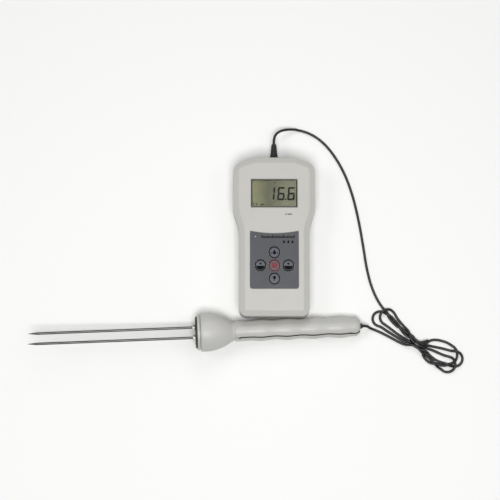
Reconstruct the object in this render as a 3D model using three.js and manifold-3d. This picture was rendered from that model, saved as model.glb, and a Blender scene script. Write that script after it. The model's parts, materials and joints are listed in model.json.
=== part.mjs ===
// A hand-held moisture meter with a display and five keys, and a two-needle probe on a thin cord.
// The meter lies on its back, the probe lies below it, and the spare cord is folded into a tied hank.
// Millimetres. +X is to the right of the display, +Y runs from the keys to the cord end, +Z is up, out of
// the display. The origin is the middle of the meter's flat back.

import * as THREE from "three";
import { mergeVertices } from "three/addons/utils/BufferGeometryUtils.js";
import Module from "manifold-3d";

const wasm = await Module();
wasm.setup();

// ---------------------------------------------------------------- driving dimensions

// Clearances
const SEAM_GAP = 0.3; // between two mouldings that close on each other
const SEAT_GAP = 0.1; // under a piece that stands on another
const SLIDE_GAP = 0.3; // round a piece that slides

// Meter case
const METER_LENGTH = 120;
const METER_DEPTH = 30;
const HEAD_WIDTH = 62;
const HEAD_LENGTH = 40.8; // from the cord end to where the sides start to close in
const WAIST_TAPER = 14.2; // length over which the head narrows to the grip
const GRIP_WIDTH = 53;
const TOP_FLAT = 31; // width of the straight part of the cord end
const SHOULDER_DROP = 5.6; // how far the sloping shoulders fall to the sides
const FOOT_RADIUS = 5.5;
const SHOULDER_RADIUS = 7.5;
const WAIST_RADIUS = 16;
const TOP_RADIUS = 4;
const CASE_WALL = 2.2;
const CASE_DRAFT = 0.3; // how far the sides lean in towards the face
const BEVEL_WIDTH = 4.6; // sloping border of the face
const BEVEL_DROP = 2.4;
const BACK_BEVEL = 2.6;
const PARTING_Z = 14; // height of the seam between the two shells
const LIP_HEIGHT = 1.4; // front shell's lip inside the rear shell
const LIP_WALL = 0.9;

// Display
const WINDOW_WIDTH = 34.6;
const WINDOW_HEIGHT = 21.2;
const WINDOW_FROM_TOP = 17.1; // cord end to the window's upper edge
const WINDOW_BEVEL = 0.6;
const LENS_MARGIN = 1.5; // lens beyond the window on each side
const LENS_THICKNESS = 1.1;
const WINDOW_LIP = CASE_WALL - LENS_THICKNESS - SEAT_GAP; // shell in front of the lens
const PANEL_GAP = 0.35; // between the lens and the display panel
const PANEL_THICKNESS = 2.6;
const BACKLIGHT_THICKNESS = 2.9;
const STRIP_WIDTH = 1.9; // conductive rubber strips beside the backlight
const HOLDER_WALL = 1.6;

// Circuit board
const BOARD_DEPTH = 11; // top of the board, below the face
const BOARD_THICKNESS = 1.6;
const BOARD_MARGIN = 1.6; // board edge to the case's inner wall

// Keypad
const KEYPAD_WIDTH = 36.3;
const KEYPAD_HEIGHT = 43.2;
const KEYPAD_FROM_TOP = 56.2; // cord end to the upper corners of the keypad
const KEYPAD_DIP = 1.85; // how far its upper edge sags in the middle
const KEYPAD_RADIUS = 1.8; // lower corners
const KEYPAD_TOP_RADIUS = 0.8;
const KEYPAD_RECESS = 0.8;
const KEYPAD_THICKNESS = 0.6;
const KEY_DIAMETER = 8.9;
const KEY_GAP_X = 1.5; // between neighbouring keys
const KEY_GAP_Y = 0.9;
const KEY_PITCH_X = KEY_DIAMETER + KEY_GAP_X;
const KEY_PITCH_Y = KEY_DIAMETER + KEY_GAP_Y;
const KEYS_FROM_KEYPAD_TOP = 25.9; // upper corners of the keypad to the middle key
const KEY_RISE = 0.35; // crown above the face
const KEY_THICKNESS = 1.15;
const KEY_TRAVEL = 0.5;
const KEY_SIDES = 24;
const KEY_STEM_RADIUS = 1.7;
const SWITCH_SIDE = 6;
const SWITCH_HEIGHT = 3.5;
const STEM_IN_SWITCH = 0.9; // how deep a key's stem stands in its switch
const LIGHT_RADIUS = 0.75;
const LIGHT_INSET = 4.1; // status light from the keypad's left edge, and from its upper corner

// Batteries, size AAA
const CELL_RADIUS = 5.15;
const CELL_LENGTH = 43.7;
const CELL_NUB_RADIUS = 1.9;
const CELL_NUB_LENGTH = 0.8;
const CELL_CRIMP = 0.5; // rounded rim at both ends
const CELL_PITCH = 10.6;
const CELL_COUNT = 4;
const CONTACT_THICKNESS = 0.4;
const SPRING_LENGTH = 3.9;
const SPRING_WIRE = 0.35; // radius
const SPRING_RADII = [3.4, 1.8]; // at the plate, and at the cell
const SPRING_TURNS = 3;
const SPRING_STEPS = 9; // in each turn
const POCKET_GAP = 0.3; // between the cells and the pocket's walls
const POCKET_FROM_FOOT = 5; // meter's foot to the pocket

// Battery cover
const COVER_WIDTH = 44;
const COVER_INSET = 0.3; // outer face, in from the flat back
const COVER_THICKNESS = 1.7;
const COVER_OVERLAP = 1; // past the pocket's upper end
const COVER_TRAVEL = 6; // slide that frees its tongues
const TONGUE_WIDTH = 1;
const TONGUE_LENGTH = 4;
const TONGUE_THICKNESS = 0.7;
const TONGUE_PLAY = 0.2; // under each tongue in its groove
const TONGUE_COUNT = 3; // on each side

// Case screws
const BOSS_RADIUS = 3.6;
const BOSS_NECK = 2.6; // where the boss goes through the board
const SCREW_RADIUS = 1.25;
const SCREW_HEAD_RADIUS = 2.3;
const SCREW_HEAD_HEIGHT = 1.7;
const SCREW_CROSS_REACH = 0.6; // share of the head's radius
const SCREW_CROSS_WIDTH = 0.6;
const SCREW_CROSS_DEPTH = 0.7;
const SCREW_SEAT_Z = 6; // shoulder under the screw head
const SCREW_LENGTH = 14;

// Gland at the cord end
const GLAND_SHOULDER = 1.7; // flange behind the wall
const GLAND_NECK = 3;
const GLAND_FLANGE = 4.6;
const GLAND_BASE = 3.6; // radius of the boot outside the case
const GLAND_TIP = 1.9;
const GLAND_LENGTH = 12; // boot outside the case

// Probe: its own axis runs from the mouth of the bell, x = 0, to the end of the handle
const BELL_RADIUS = 14.6;
const BELL_LENGTH = 26.3;
const BELL_STRAIGHT = 4; // from the rim to where the bell starts to close in
const BELL_WALL = 1.8;
const NECK_RADIUS = 7.1;
const NECK_BORE = 5.9;
const BELL_SIDES = 32;
const HANDLE_END = 121;
const HANDLE_HALF_WIDTH = 7.45; // in the plane of the seam
const HANDLE_HALF_HEIGHT = 7.1;
const HANDLE_SQUARENESS = 2.5; // 2 is an ellipse, more is squarer
const HANDLE_WALL = 1.7;
const GRIP_WAVE = 0.32; // finger waves, half their height
const GRIP_WAVE_PITCH = 20;
const GRIP_WAVE_FROM_NECK = 14.4; // neck to where the finger waves start
const HANDLE_TAPER = 6; // chamfered end
const HANDLE_END_SHARE = 0.42; // size of the end face against the full section
const SPIGOT_LENGTH = 6; // of the handle inside the bell's neck
const RING_INSET = 1.4; // ring's rim, in from the bell's
const RING_RADIUS = BELL_RADIUS - RING_INSET;
const RING_THICKNESS = 2.3;
const RING_LIP = 0.2; // ring's wall where it stands inside the bell's mouth
const PLATE_RADIUS = BELL_RADIUS - BELL_WALL - 2 * SLIDE_GAP - RING_LIP;
const PLATE_PROUD = 1.2; // past the mouth ring
const PLATE_THICKNESS = 6.5;
const NEEDLE_RADIUS = 1;
const NEEDLE_REACH = 128.5; // from the bell's mouth to the points
const NEEDLE_POINT = 7;
const NEEDLE_SPACING = 11;
const NEEDLE_TAIL = 11; // length inside the bell
const NUT_RADIUS = 2.3;
const NUT_THICKNESS = 2.2;
const PROBE_BOARD_RADIUS = 10;
const PROBE_BOARD_X = 7.2;
const HANDLE_SCREW_RADIUS = 1.1;
const HANDLE_SCREW_HEAD = 2;
const HANDLE_SCREW_HEAD_HEIGHT = 1.4;
const HANDLE_SCREW_LENGTH = 7;
const HANDLE_SCREW_DEPTH = 2.6; // of the shoulder under the head, below the handle's skin
const HANDLE_BOSS_RADIUS = 2.8;
const HANDLE_SCREW_PLACES = [40, 98];
const GROMMET_RADIUS = 1.9;
const GROMMET_PROUD = 2.2;

// How the probe lies: rolled on the rim of its bell, with its handle's end on the ground
const PROBE_X = -55.7; // the bell's mouth
const PROBE_FROM_FOOT = 11.3; // meter's foot to the axis at the mouth
const PROBE_ROLL = -43;
const PROBE_YAW = 2.4;

// Cord
const CORD_DIAMETER = 2;
const CORD_SIDES = 8;
const LEAD_POINTS = [
  [0.1, 75.6, 13.8],
  [1.4, 79.8, 12.2],
  [5, 83.2, 8.9],
  [10.8, 85.2, 5.2],
  [18, 85.5, 2.3],
  [26, 83.6, 1.15],
  [36, 77.6, 1.05],
  [45.4, 67.2, 1.05],
  [54, 52.4, 1.05],
  [60.4, 35, 1.05],
  [65.1, 15.2, 1.05],
  [68.4, -4, 1.05],
  [71.2, -22, 1.05],
  [75.2, -37.4, 1.05],
  [82, -51.4, 1.05],
];
const TAIL_STRAIGHT = 3; // straight stretch where the cord leaves the handle
const TAIL_POINTS = [[71.7, -66.2, 6.7]]; // up to the hank's left lobe
const TIE_PLACE = [108.9, -79.8];
const HANK_ANGLE = -32; // direction of the hank from the left lobe to the right one
const TIE_LENGTH = 4.2;
const TIE_HALF_WIDTH = 4.6;
const HANK_HEIGHT = 6.6;
const LOBES = {
  hank_left_lobe: { centre: [81.2, -62.4], radius: 9.4, neck: 4.2 },
  hank_right_lobe: { centre: [132.4, -92], radius: 13.4, neck: 4.2 },
};

// Colours of the plain materials
const COLOURS = {
  shell: 0xc9c7c3,
  keypad: 0x62666d,
  key: 0x7f858e,
  red: 0xb84a50,
  black: 0x17181a,
  rubber: 0x202124,
  clear: 0xdfe6e2,
  display: 0x8f8f74,
  white: 0xe8e8e4,
  board: 0x1f5a35,
  steel: 0x9a9b9c,
  brass: 0xb99a55,
  cell: 0x3a4d6b,
};

// ---------------------------------------------------------------- places worked out from the sizes

const FACE_Z = METER_DEPTH;
const TOP_Y = METER_LENGTH / 2;
const FOOT_Y = -METER_LENGTH / 2;
const FACE_INNER_Z = FACE_Z - CASE_WALL;
const BOARD_TOP_Z = FACE_Z - BOARD_DEPTH;
const BOARD_BOTTOM_Z = BOARD_TOP_Z - BOARD_THICKNESS;

const WINDOW = {
  high: TOP_Y - WINDOW_FROM_TOP,
  low: TOP_Y - WINDOW_FROM_TOP - WINDOW_HEIGHT,
  middle: TOP_Y - WINDOW_FROM_TOP - WINDOW_HEIGHT / 2,
  lensTop: FACE_Z - WINDOW_LIP,
};
const LENS_HALF = [WINDOW_WIDTH / 2 + LENS_MARGIN, WINDOW_HEIGHT / 2 + LENS_MARGIN];
const PANEL_TOP_Z = WINDOW.lensTop - SEAT_GAP - LENS_THICKNESS - PANEL_GAP;
const PANEL_BOTTOM_Z = PANEL_TOP_Z - PANEL_THICKNESS;
const BACKLIGHT_TOP_Z = PANEL_BOTTOM_Z - SEAT_GAP;
const HOLDER_TOP_Z = FACE_INNER_Z - SEAT_GAP;

const KEYPAD_TOP_Y = TOP_Y - KEYPAD_FROM_TOP;
const KEYPAD_FLOOR_Z = FACE_Z - KEYPAD_RECESS;
const MIDDLE_KEY_Y = KEYPAD_TOP_Y - KEYS_FROM_KEYPAD_TOP;
const KEY_PLACES = {
  function: [0, MIDDLE_KEY_Y + KEY_PITCH_Y],
  power: [0, MIDDLE_KEY_Y],
  light: [0, MIDDLE_KEY_Y - KEY_PITCH_Y],
  left: [-KEY_PITCH_X, MIDDLE_KEY_Y],
  right: [KEY_PITCH_X, MIDDLE_KEY_Y],
};
const KEY_TOP_Z = FACE_Z + KEY_RISE;
const KEY_UNDER_Z = KEY_TOP_Z - KEY_THICKNESS;
const KEY_WELL_Z = KEY_UNDER_Z - KEY_TRAVEL - SEAT_GAP; // floor of the well under each key
const SWITCH_TOP_Z = BOARD_TOP_Z + SEAT_GAP + SWITCH_HEIGHT;
const LIGHT_PLACE = [-KEYPAD_WIDTH / 2 + LIGHT_INSET, KEYPAD_TOP_Y - LIGHT_INSET];

const GLAND_INNER_Y = TOP_Y - CASE_WALL - SLIDE_GAP - LIP_WALL - SLIDE_GAP - GLAND_SHOULDER;

const COVER_TOP_Z = COVER_INSET + COVER_THICKNESS;
const POCKET = {
  halfWidth: (CELL_COUNT * CELL_PITCH) / 2 + POCKET_GAP,
  low: FOOT_Y + POCKET_FROM_FOOT,
  floor: COVER_TOP_Z + SLIDE_GAP,
};
const CELL_Z = POCKET.floor + POCKET_GAP / 2 + CELL_RADIUS;
POCKET.roof = CELL_Z + CELL_RADIUS + POCKET_GAP / 2;
POCKET.length =
  CELL_LENGTH + CELL_NUB_LENGTH + SPRING_LENGTH + 2 * CONTACT_THICKNESS + 4 * SEAT_GAP + 2 * POCKET_GAP;
POCKET.high = POCKET.low + POCKET.length;
const TRAY_WALL = 1.5;
const COVER_HIGH = POCKET.high + COVER_OVERLAP;

// Two bosses above the display and two between the display and the battery pocket.
const BOSS_PLACES = [
  [-21.4, TOP_Y - 10],
  [21.4, TOP_Y - 10],
  [-18, WINDOW.low - LENS_MARGIN - HOLDER_WALL - BOSS_RADIUS - 3.9],
  [18, WINDOW.low - LENS_MARGIN - HOLDER_WALL - BOSS_RADIUS - 3.9],
];

const PLATE_FACE_X = -RING_THICKNESS - PLATE_PROUD;
const HANDLE_START = BELL_LENGTH + SEAM_GAP;
const CONTACT_X = HANDLE_END - HANDLE_TAPER; // last full section of the handle
// How far the oval of the handle reaches down from its axis, rolled as it lies.
const HANDLE_REACH = (() => {
  const power = HANDLE_SQUARENESS / (HANDLE_SQUARENESS - 1);
  const roll = THREE.MathUtils.degToRad(PROBE_ROLL);
  const parts = [HANDLE_HALF_WIDTH * Math.sin(roll), HANDLE_HALF_HEIGHT * Math.cos(roll)];
  return parts.reduce((sum, part) => sum + Math.abs(part) ** power, 0) ** (1 / power);
})();
const PROBE_PITCH = Math.atan((BELL_RADIUS - HANDLE_REACH) / (CONTACT_X - BELL_STRAIGHT));
const GROUND_GAP = 0.1; // the probe's lowest points above the meter's back plane

// ---------------------------------------------------------------- helpers

const radians = THREE.MathUtils.degToRad;

// A closed geometry as a solid that can be joined and cut.
function solidOf(geometry) {
  const loose = geometry.index ? geometry.toNonIndexed() : geometry;
  const bare = new THREE.BufferGeometry().setAttribute("position", loose.getAttribute("position"));
  const merged = mergeVertices(bare, 1e-4);
  return new wasm.Manifold(
    new wasm.Mesh({
      numProp: 3,
      vertProperties: merged.attributes.position.array,
      triVerts: new Uint32Array(merged.index.array),
    }),
  );
}

function geometryOf(solid) {
  const mesh = solid.getMesh();
  const geometry = new THREE.BufferGeometry();
  geometry.setAttribute("position", new THREE.BufferAttribute(mesh.vertProperties, 3));
  geometry.setIndex(new THREE.BufferAttribute(mesh.triVerts, 1));
  geometry.computeVertexNormals();
  return geometry;
}

const join = (...solids) => solids.reduce((whole, piece) => whole.add(piece));
const cut = (solid, ...tools) => tools.reduce((whole, tool) => whole.subtract(tool), solid);

// A block between two corners.
function block([x0, y0, z0], [x1, y1, z1]) {
  const geometry = new THREE.BoxGeometry(x1 - x0, y1 - y0, z1 - z0);
  return solidOf(geometry.translate((x0 + x1) / 2, (y0 + y1) / 2, (z0 + z1) / 2));
}

// An upright cylinder.
function post([x, y], radius, z0, z1, sides = 20) {
  const geometry = new THREE.CylinderGeometry(radius, radius, z1 - z0, sides).rotateX(Math.PI / 2);
  return solidOf(geometry.translate(x, y, (z0 + z1) / 2));
}

// A turned piece: [distance along the axis, radius] pairs, spun round the X axis.
function turnedX(profile, sides) {
  const points = profile.map(([along, radius]) => new THREE.Vector2(radius, along));
  return solidOf(new THREE.LatheGeometry(points, sides).rotateZ(-Math.PI / 2));
}

// The same, spun round the Y axis.
function turnedY(profile, sides) {
  const points = profile.map(([along, radius]) => new THREE.Vector2(radius, along));
  return solidOf(new THREE.LatheGeometry(points, sides));
}

// Skins a row of outlines, all with the same number of points, and closes both ends.
function loft(sections, place = (u, v, at) => [u, v, at]) {
  const count = sections[0].outline.length;
  const positions = sections.flatMap(({ at, outline }) => outline.flatMap((p) => place(p.x, p.y, at)));
  const index = [];
  for (let s = 0; s < sections.length - 1; s++) {
    for (let i = 0; i < count; i++) {
      const a = s * count + i;
      const b = s * count + ((i + 1) % count);
      index.push(a, b, b + count, a, b + count, a + count);
    }
  }
  const last = (sections.length - 1) * count;
  for (const [a, b, c] of THREE.ShapeUtils.triangulateShape(sections[0].outline, [])) index.push(c, b, a);
  for (const [a, b, c] of THREE.ShapeUtils.triangulateShape(sections.at(-1).outline, [])) {
    index.push(last + a, last + b, last + c);
  }
  const geometry = new THREE.BufferGeometry();
  geometry.setAttribute("position", new THREE.Float32BufferAttribute(positions, 3));
  geometry.setIndex(index);
  return solidOf(geometry);
}

// Corners [x, y, radius], counter-clockwise, as an outline with round corners.
function roundedOutline(corners, steps) {
  return corners.flatMap(([x, y, radius], i) => {
    const here = new THREE.Vector2(x, y);
    const back = new THREE.Vector2(...corners.at(i - 1)).sub(here).normalize();
    const ahead = new THREE.Vector2(...corners[(i + 1) % corners.length]).sub(here).normalize();
    const half = Math.acos(THREE.MathUtils.clamp(back.dot(ahead), -1, 1)) / 2;
    const bisector = back.clone().add(ahead).normalize();
    const centre = here.clone().addScaledVector(bisector, radius / Math.sin(half));
    const start = here.clone().addScaledVector(back, radius / Math.tan(half)).sub(centre);
    const end = here.clone().addScaledVector(ahead, radius / Math.tan(half)).sub(centre);
    const sweep = Math.atan2(start.cross(end), start.dot(end));
    return Array.from({ length: steps + 1 }, (_, k) =>
      start.clone().rotateAround(new THREE.Vector2(), (sweep * k) / steps).add(centre),
    );
  });
}

// The same corners with every edge moved in. A convex corner gets tighter and a hollow one wider.
function inset(corners, distance, leastRadius = 0.4) {
  return corners.map(([x, y, radius], i) => {
    const here = new THREE.Vector2(x, y);
    const before = here.clone().sub(new THREE.Vector2(...corners.at(i - 1))).normalize();
    const after = new THREE.Vector2(...corners[(i + 1) % corners.length]).sub(here).normalize();
    const normals = [before, after].map((d) => new THREE.Vector2(-d.y, d.x));
    const shift = normals[0].clone().add(normals[1]);
    shift.multiplyScalar(distance / (1 + normals[0].dot(normals[1])));
    const convex = before.cross(after) > 0;
    const newRadius = convex ? Math.max(radius - distance, leastRadius) : radius + distance;
    return [x + shift.x, y + shift.y, newRadius];
  });
}

// A tube along a smooth curve through the points.
function tube(points, diameter, stepLength) {
  const path = new THREE.CatmullRomCurve3(points.map((p) => new THREE.Vector3(...p)), false, "centripetal");
  const section = new THREE.Shape(
    Array.from({ length: CORD_SIDES }, (_, i) => {
      const angle = (2 * Math.PI * i) / CORD_SIDES;
      return new THREE.Vector2((Math.cos(angle) * diameter) / 2, (Math.sin(angle) * diameter) / 2);
    }),
  );
  const steps = Math.round(path.getLength() / stepLength);
  return new THREE.ExtrudeGeometry(section, { steps, extrudePath: path });
}

const materials = Object.fromEntries(
  Object.entries(COLOURS).map(([name, color]) => {
    const metal = ["steel", "brass"].includes(name);
    const settings = { color, metalness: metal ? 1 : 0, roughness: metal ? 0.35 : 0.55 };
    return [name, new THREE.MeshStandardMaterial(settings)];
  }),
);

const meter = new THREE.Group();
const probe = new THREE.Group();
const cord = new THREE.Group();

function add(group, name, shape, material) {
  const geometry = shape.isBufferGeometry ? shape : geometryOf(shape);
  const mesh = new THREE.Mesh(geometry, materials[material]);
  mesh.name = name;
  group.add(mesh);
  return mesh;
}

// ---------------------------------------------------------------- meter case

const ARC_STEPS = 3;
const CASE_CORNERS = (() => {
  const right = [
    [GRIP_WIDTH / 2, FOOT_Y, FOOT_RADIUS],
    [GRIP_WIDTH / 2, TOP_Y - HEAD_LENGTH - WAIST_TAPER, WAIST_RADIUS],
    [HEAD_WIDTH / 2, TOP_Y - HEAD_LENGTH, WAIST_RADIUS],
    [HEAD_WIDTH / 2, TOP_Y - SHOULDER_DROP, SHOULDER_RADIUS],
    [TOP_FLAT / 2, TOP_Y, TOP_RADIUS],
  ];
  return [...right, ...right.toReversed().map(([x, y, radius]) => [-x, y, radius])];
})();

// [height, inset] pairs as a solid with the outline of the case.
function caseLoft(steps) {
  const outlineAt = (distance) => roundedOutline(inset(CASE_CORNERS, distance), ARC_STEPS);
  return loft(steps.map(([at, distance]) => ({ at, outline: outlineAt(distance) })));
}

const glandBore = turnedY(
  [
    [GLAND_INNER_Y, 0],
    [GLAND_INNER_Y, GLAND_NECK + SLIDE_GAP],
    [TOP_Y + 2, GLAND_NECK + SLIDE_GAP],
    [TOP_Y + 2, 0],
  ],
  24,
).translate([0, 0, PARTING_Z]);

// Outline of the keypad: a rectangle whose upper edge sags in an arc.
function keypadOutline(gap) {
  const halfWidth = KEYPAD_WIDTH / 2 + gap;
  const low = KEYPAD_TOP_Y - KEYPAD_HEIGHT - gap;
  const arcSteps = 8;
  const rise = (x) => KEYPAD_TOP_Y + gap - KEYPAD_DIP * (1 - (x / halfWidth) ** 2);
  const lower = roundedOutline(
    [
      [-halfWidth, low, KEYPAD_RADIUS],
      [halfWidth, low, KEYPAD_RADIUS],
      [halfWidth, KEYPAD_TOP_Y + gap, KEYPAD_TOP_RADIUS],
      [-halfWidth, KEYPAD_TOP_Y + gap, KEYPAD_TOP_RADIUS],
    ],
    3,
  );
  const split = 12; // the three lower-right corners come first: foot left, foot right, top right
  const top = Array.from({ length: arcSteps - 1 }, (_, i) => {
    const x = halfWidth * (1 - (2 * (i + 1)) / arcSteps);
    return new THREE.Vector2(x, rise(x));
  });
  return [...lower.slice(0, split), ...top, ...lower.slice(split)];
}

function frontShell() {
  const faceEdge = FACE_Z - BEVEL_DROP;
  const outer = caseLoft([
    [PARTING_Z + SEAM_GAP / 2, 0],
    [faceEdge - 1.4, CASE_DRAFT],
    [faceEdge - 0.5, CASE_DRAFT + 0.2],
    [faceEdge + 0.1, CASE_DRAFT + 0.8],
    [FACE_Z - 0.5, BEVEL_WIDTH - 0.9],
    [FACE_Z - 0.1, BEVEL_WIDTH],
    [FACE_Z, BEVEL_WIDTH + 0.8],
  ]);
  const hollow = caseLoft([
    [PARTING_Z - 1, CASE_WALL],
    [FACE_INNER_Z - 2, CASE_WALL + CASE_DRAFT],
    [FACE_INNER_Z, CASE_WALL + BEVEL_WIDTH - 1.4],
  ]);
  const lipTop = PARTING_Z + LIP_HEIGHT;
  const lip = join(
    caseLoft([
      [PARTING_Z - LIP_HEIGHT, CASE_WALL + SLIDE_GAP / 2],
      [PARTING_Z + SEAM_GAP, CASE_WALL + SLIDE_GAP / 2],
    ]),
    caseLoft([
      [PARTING_Z + SEAM_GAP / 2, CASE_WALL - 0.3],
      [lipTop, CASE_WALL - 0.3],
    ]),
  );
  const lipHollow = caseLoft([
    [PARTING_Z - LIP_HEIGHT - 1, CASE_WALL + SLIDE_GAP / 2 + LIP_WALL],
    [lipTop + 1, CASE_WALL + SLIDE_GAP / 2 + LIP_WALL],
  ]);
  const bosses = BOSS_PLACES.map((place) =>
    join(
      post(place, BOSS_RADIUS, BOARD_TOP_Z + SEAT_GAP, FACE_INNER_Z + 0.5),
      post(place, BOSS_NECK, PARTING_Z + SEAT_GAP, FACE_INNER_Z + 0.5),
    ),
  );
  const pilotTop = FACE_INNER_Z - 0.6;
  const pilotRadius = SCREW_RADIUS + SEAT_GAP;
  const pilots = BOSS_PLACES.map((place) => post(place, pilotRadius, PARTING_Z - 1, pilotTop, 16));
  const windowHalf = [WINDOW_WIDTH / 2, WINDOW_HEIGHT / 2];
  const windowOutline = (grow) =>
    roundedOutline(
      [
        [-windowHalf[0] - grow, WINDOW.low - grow, 0.6],
        [windowHalf[0] + grow, WINDOW.low - grow, 0.6],
        [windowHalf[0] + grow, WINDOW.high + grow, 0.6],
        [-windowHalf[0] - grow, WINDOW.high + grow, 0.6],
      ],
      2,
    );
  const window = loft([
    { at: FACE_INNER_Z - 1, outline: windowOutline(0) },
    { at: FACE_Z - WINDOW_BEVEL, outline: windowOutline(0) },
    { at: FACE_Z + WINDOW_BEVEL, outline: windowOutline(2 * WINDOW_BEVEL) },
  ]);
  const lensSeat = block(
    [-LENS_HALF[0] - SLIDE_GAP, WINDOW.middle - LENS_HALF[1] - SLIDE_GAP, FACE_INNER_Z - 1],
    [LENS_HALF[0] + SLIDE_GAP, WINDOW.middle + LENS_HALF[1] + SLIDE_GAP, WINDOW.lensTop],
  );
  const keypadSeat = loft([
    { at: KEYPAD_FLOOR_Z, outline: keypadOutline(SLIDE_GAP) },
    { at: FACE_Z + 1, outline: keypadOutline(SLIDE_GAP) },
  ]);
  const keyWells = Object.values(KEY_PLACES).flatMap((place) => [
    post(place, KEY_DIAMETER / 2 + SLIDE_GAP, KEY_WELL_Z, FACE_Z, KEY_SIDES),
    post(place, KEY_STEM_RADIUS + SLIDE_GAP, FACE_INNER_Z - 1, FACE_Z, 16),
  ]);
  const lightHole = post(LIGHT_PLACE, LIGHT_RADIUS + SLIDE_GAP, FACE_INNER_Z - 1, FACE_Z, 12);
  return cut(
    join(cut(outer, hollow), cut(lip, lipHollow), ...bosses),
    ...pilots,
    window,
    lensSeat,
    keypadSeat,
    ...keyWells,
    lightHole,
    glandBore,
  );
}

// The cover's tongues: where each one starts along Y, on both sides.
const TONGUE_PLACES = Array.from({ length: TONGUE_COUNT }, (_, i) => {
  const first = FOOT_Y + 11;
  const last = COVER_HIGH - 7;
  return first + ((last - first) * i) / (TONGUE_COUNT - 1) - TONGUE_LENGTH / 2;
});
const TONGUE_Z = COVER_TOP_Z - TONGUE_THICKNESS - 0.1;

function rearOuter(shrink) {
  return caseLoft([
    [0, BACK_BEVEL + shrink],
    [0.5, BACK_BEVEL - 1 + shrink],
    [1.6, BACK_BEVEL - 1.9 + shrink],
    [3.6, shrink + 0.2],
    [PARTING_Z - SEAM_GAP / 2, shrink],
  ]);
}

function rearShell() {
  const hollow = caseLoft([
    [CASE_WALL, CASE_WALL + BACK_BEVEL - 1],
    [CASE_WALL + 1.6, CASE_WALL],
    [PARTING_Z + 1, CASE_WALL],
  ]);
  const trayTop = PARTING_Z - SEAM_GAP / 2;
  const tray = block(
    [-POCKET.halfWidth - TRAY_WALL, POCKET.low - TRAY_WALL, 0],
    [POCKET.halfWidth + TRAY_WALL, POCKET.high + COVER_OVERLAP + TRAY_WALL, trayTop],
  );
  const inside = caseLoft([
    [0, BACK_BEVEL + CASE_WALL / 2],
    [PARTING_Z, CASE_WALL + SLIDE_GAP + LIP_WALL + SEAT_GAP],
  ]);
  const pocket = block([-POCKET.halfWidth, POCKET.low, -1], [POCKET.halfWidth, POCKET.high, POCKET.roof]);
  const coverSeat = block(
    [-COVER_WIDTH / 2 - SLIDE_GAP, FOOT_Y - 1, -1],
    [COVER_WIDTH / 2 + SLIDE_GAP, COVER_HIGH + SLIDE_GAP, POCKET.floor],
  );
  // Each tongue runs in a closed groove and comes free where the groove opens to the back.
  const reach = COVER_WIDTH / 2 + TONGUE_WIDTH + SLIDE_GAP;
  const grooves = TONGUE_PLACES.flatMap((y) => [
    block(
      [-reach, y - COVER_TRAVEL - SLIDE_GAP, TONGUE_Z - TONGUE_PLAY],
      [reach, y + TONGUE_LENGTH + SLIDE_GAP, POCKET.floor],
    ),
    block(
      [-reach, y - COVER_TRAVEL - SLIDE_GAP, -1],
      [reach, y - COVER_TRAVEL + TONGUE_LENGTH, POCKET.floor],
    ),
  ]);
  const bosses = BOSS_PLACES.map((place) => post(place, BOSS_RADIUS, 1, PARTING_Z - SEAT_GAP));
  const screwHoles = BOSS_PLACES.flatMap((place) => [
    post(place, SCREW_HEAD_RADIUS + SLIDE_GAP, -1, SCREW_SEAT_Z),
    post(place, SCREW_RADIUS + SLIDE_GAP, -1, PARTING_Z + 1, 16),
  ]);
  const body = join(cut(rearOuter(0), hollow), tray.intersect(inside), ...bosses);
  return cut(body, pocket, coverSeat, ...grooves, ...screwHoles, glandBore);
}

function batteryCover() {
  const plate = block(
    [-COVER_WIDTH / 2, FOOT_Y - 1, COVER_INSET],
    [COVER_WIDTH / 2, COVER_HIGH, COVER_TOP_Z],
  );
  const reach = COVER_WIDTH / 2 + TONGUE_WIDTH;
  const tongues = TONGUE_PLACES.map((y) =>
    block([-reach, y, TONGUE_Z], [reach, y + TONGUE_LENGTH, TONGUE_Z + TONGUE_THICKNESS]),
  );
  const ribCount = 5;
  const ribs = Array.from({ length: ribCount }, (_, i) =>
    block([-7 + i, COVER_HIGH - 9 - 2 * i, 0.02], [7 - i, COVER_HIGH - 8.2 - 2 * i, COVER_INSET + 0.3]),
  );
  const foot = join(plate.intersect(rearOuter(SEAT_GAP)), ...tongues);
  return join(foot, ...ribs);
}

add(meter, "front_shell", frontShell(), "shell");
add(meter, "rear_shell", rearShell(), "shell");
add(meter, "battery_cover", batteryCover(), "shell");

// A cross-headed screw standing on its head. headUnder is the height of the face under the head.
function screw(headUnder, length, radius, headRadius, headHeight) {
  const bottom = headUnder - headHeight;
  const [arm, half] = [headRadius * SCREW_CROSS_REACH, SCREW_CROSS_WIDTH / 2];
  const cross = [
    block([-arm, -half, bottom - 1], [arm, half, bottom + SCREW_CROSS_DEPTH]),
    block([-half, -arm, bottom - 1], [half, arm, bottom + SCREW_CROSS_DEPTH]),
  ];
  const shank = post([0, 0], radius, bottom + headHeight / 2, headUnder + length, 12);
  return cut(join(shank, post([0, 0], headRadius, bottom, headUnder)), ...cross);
}
const caseScrew = geometryOf(
  screw(SCREW_SEAT_Z - SEAT_GAP, SCREW_LENGTH, SCREW_RADIUS, SCREW_HEAD_RADIUS, SCREW_HEAD_HEIGHT),
);
BOSS_PLACES.forEach(([x, y], i) => {
  add(meter, `case_screw_${i + 1}`, caseScrew, "steel").position.set(x, y, 0);
});

// ---------------------------------------------------------------- display

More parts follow.
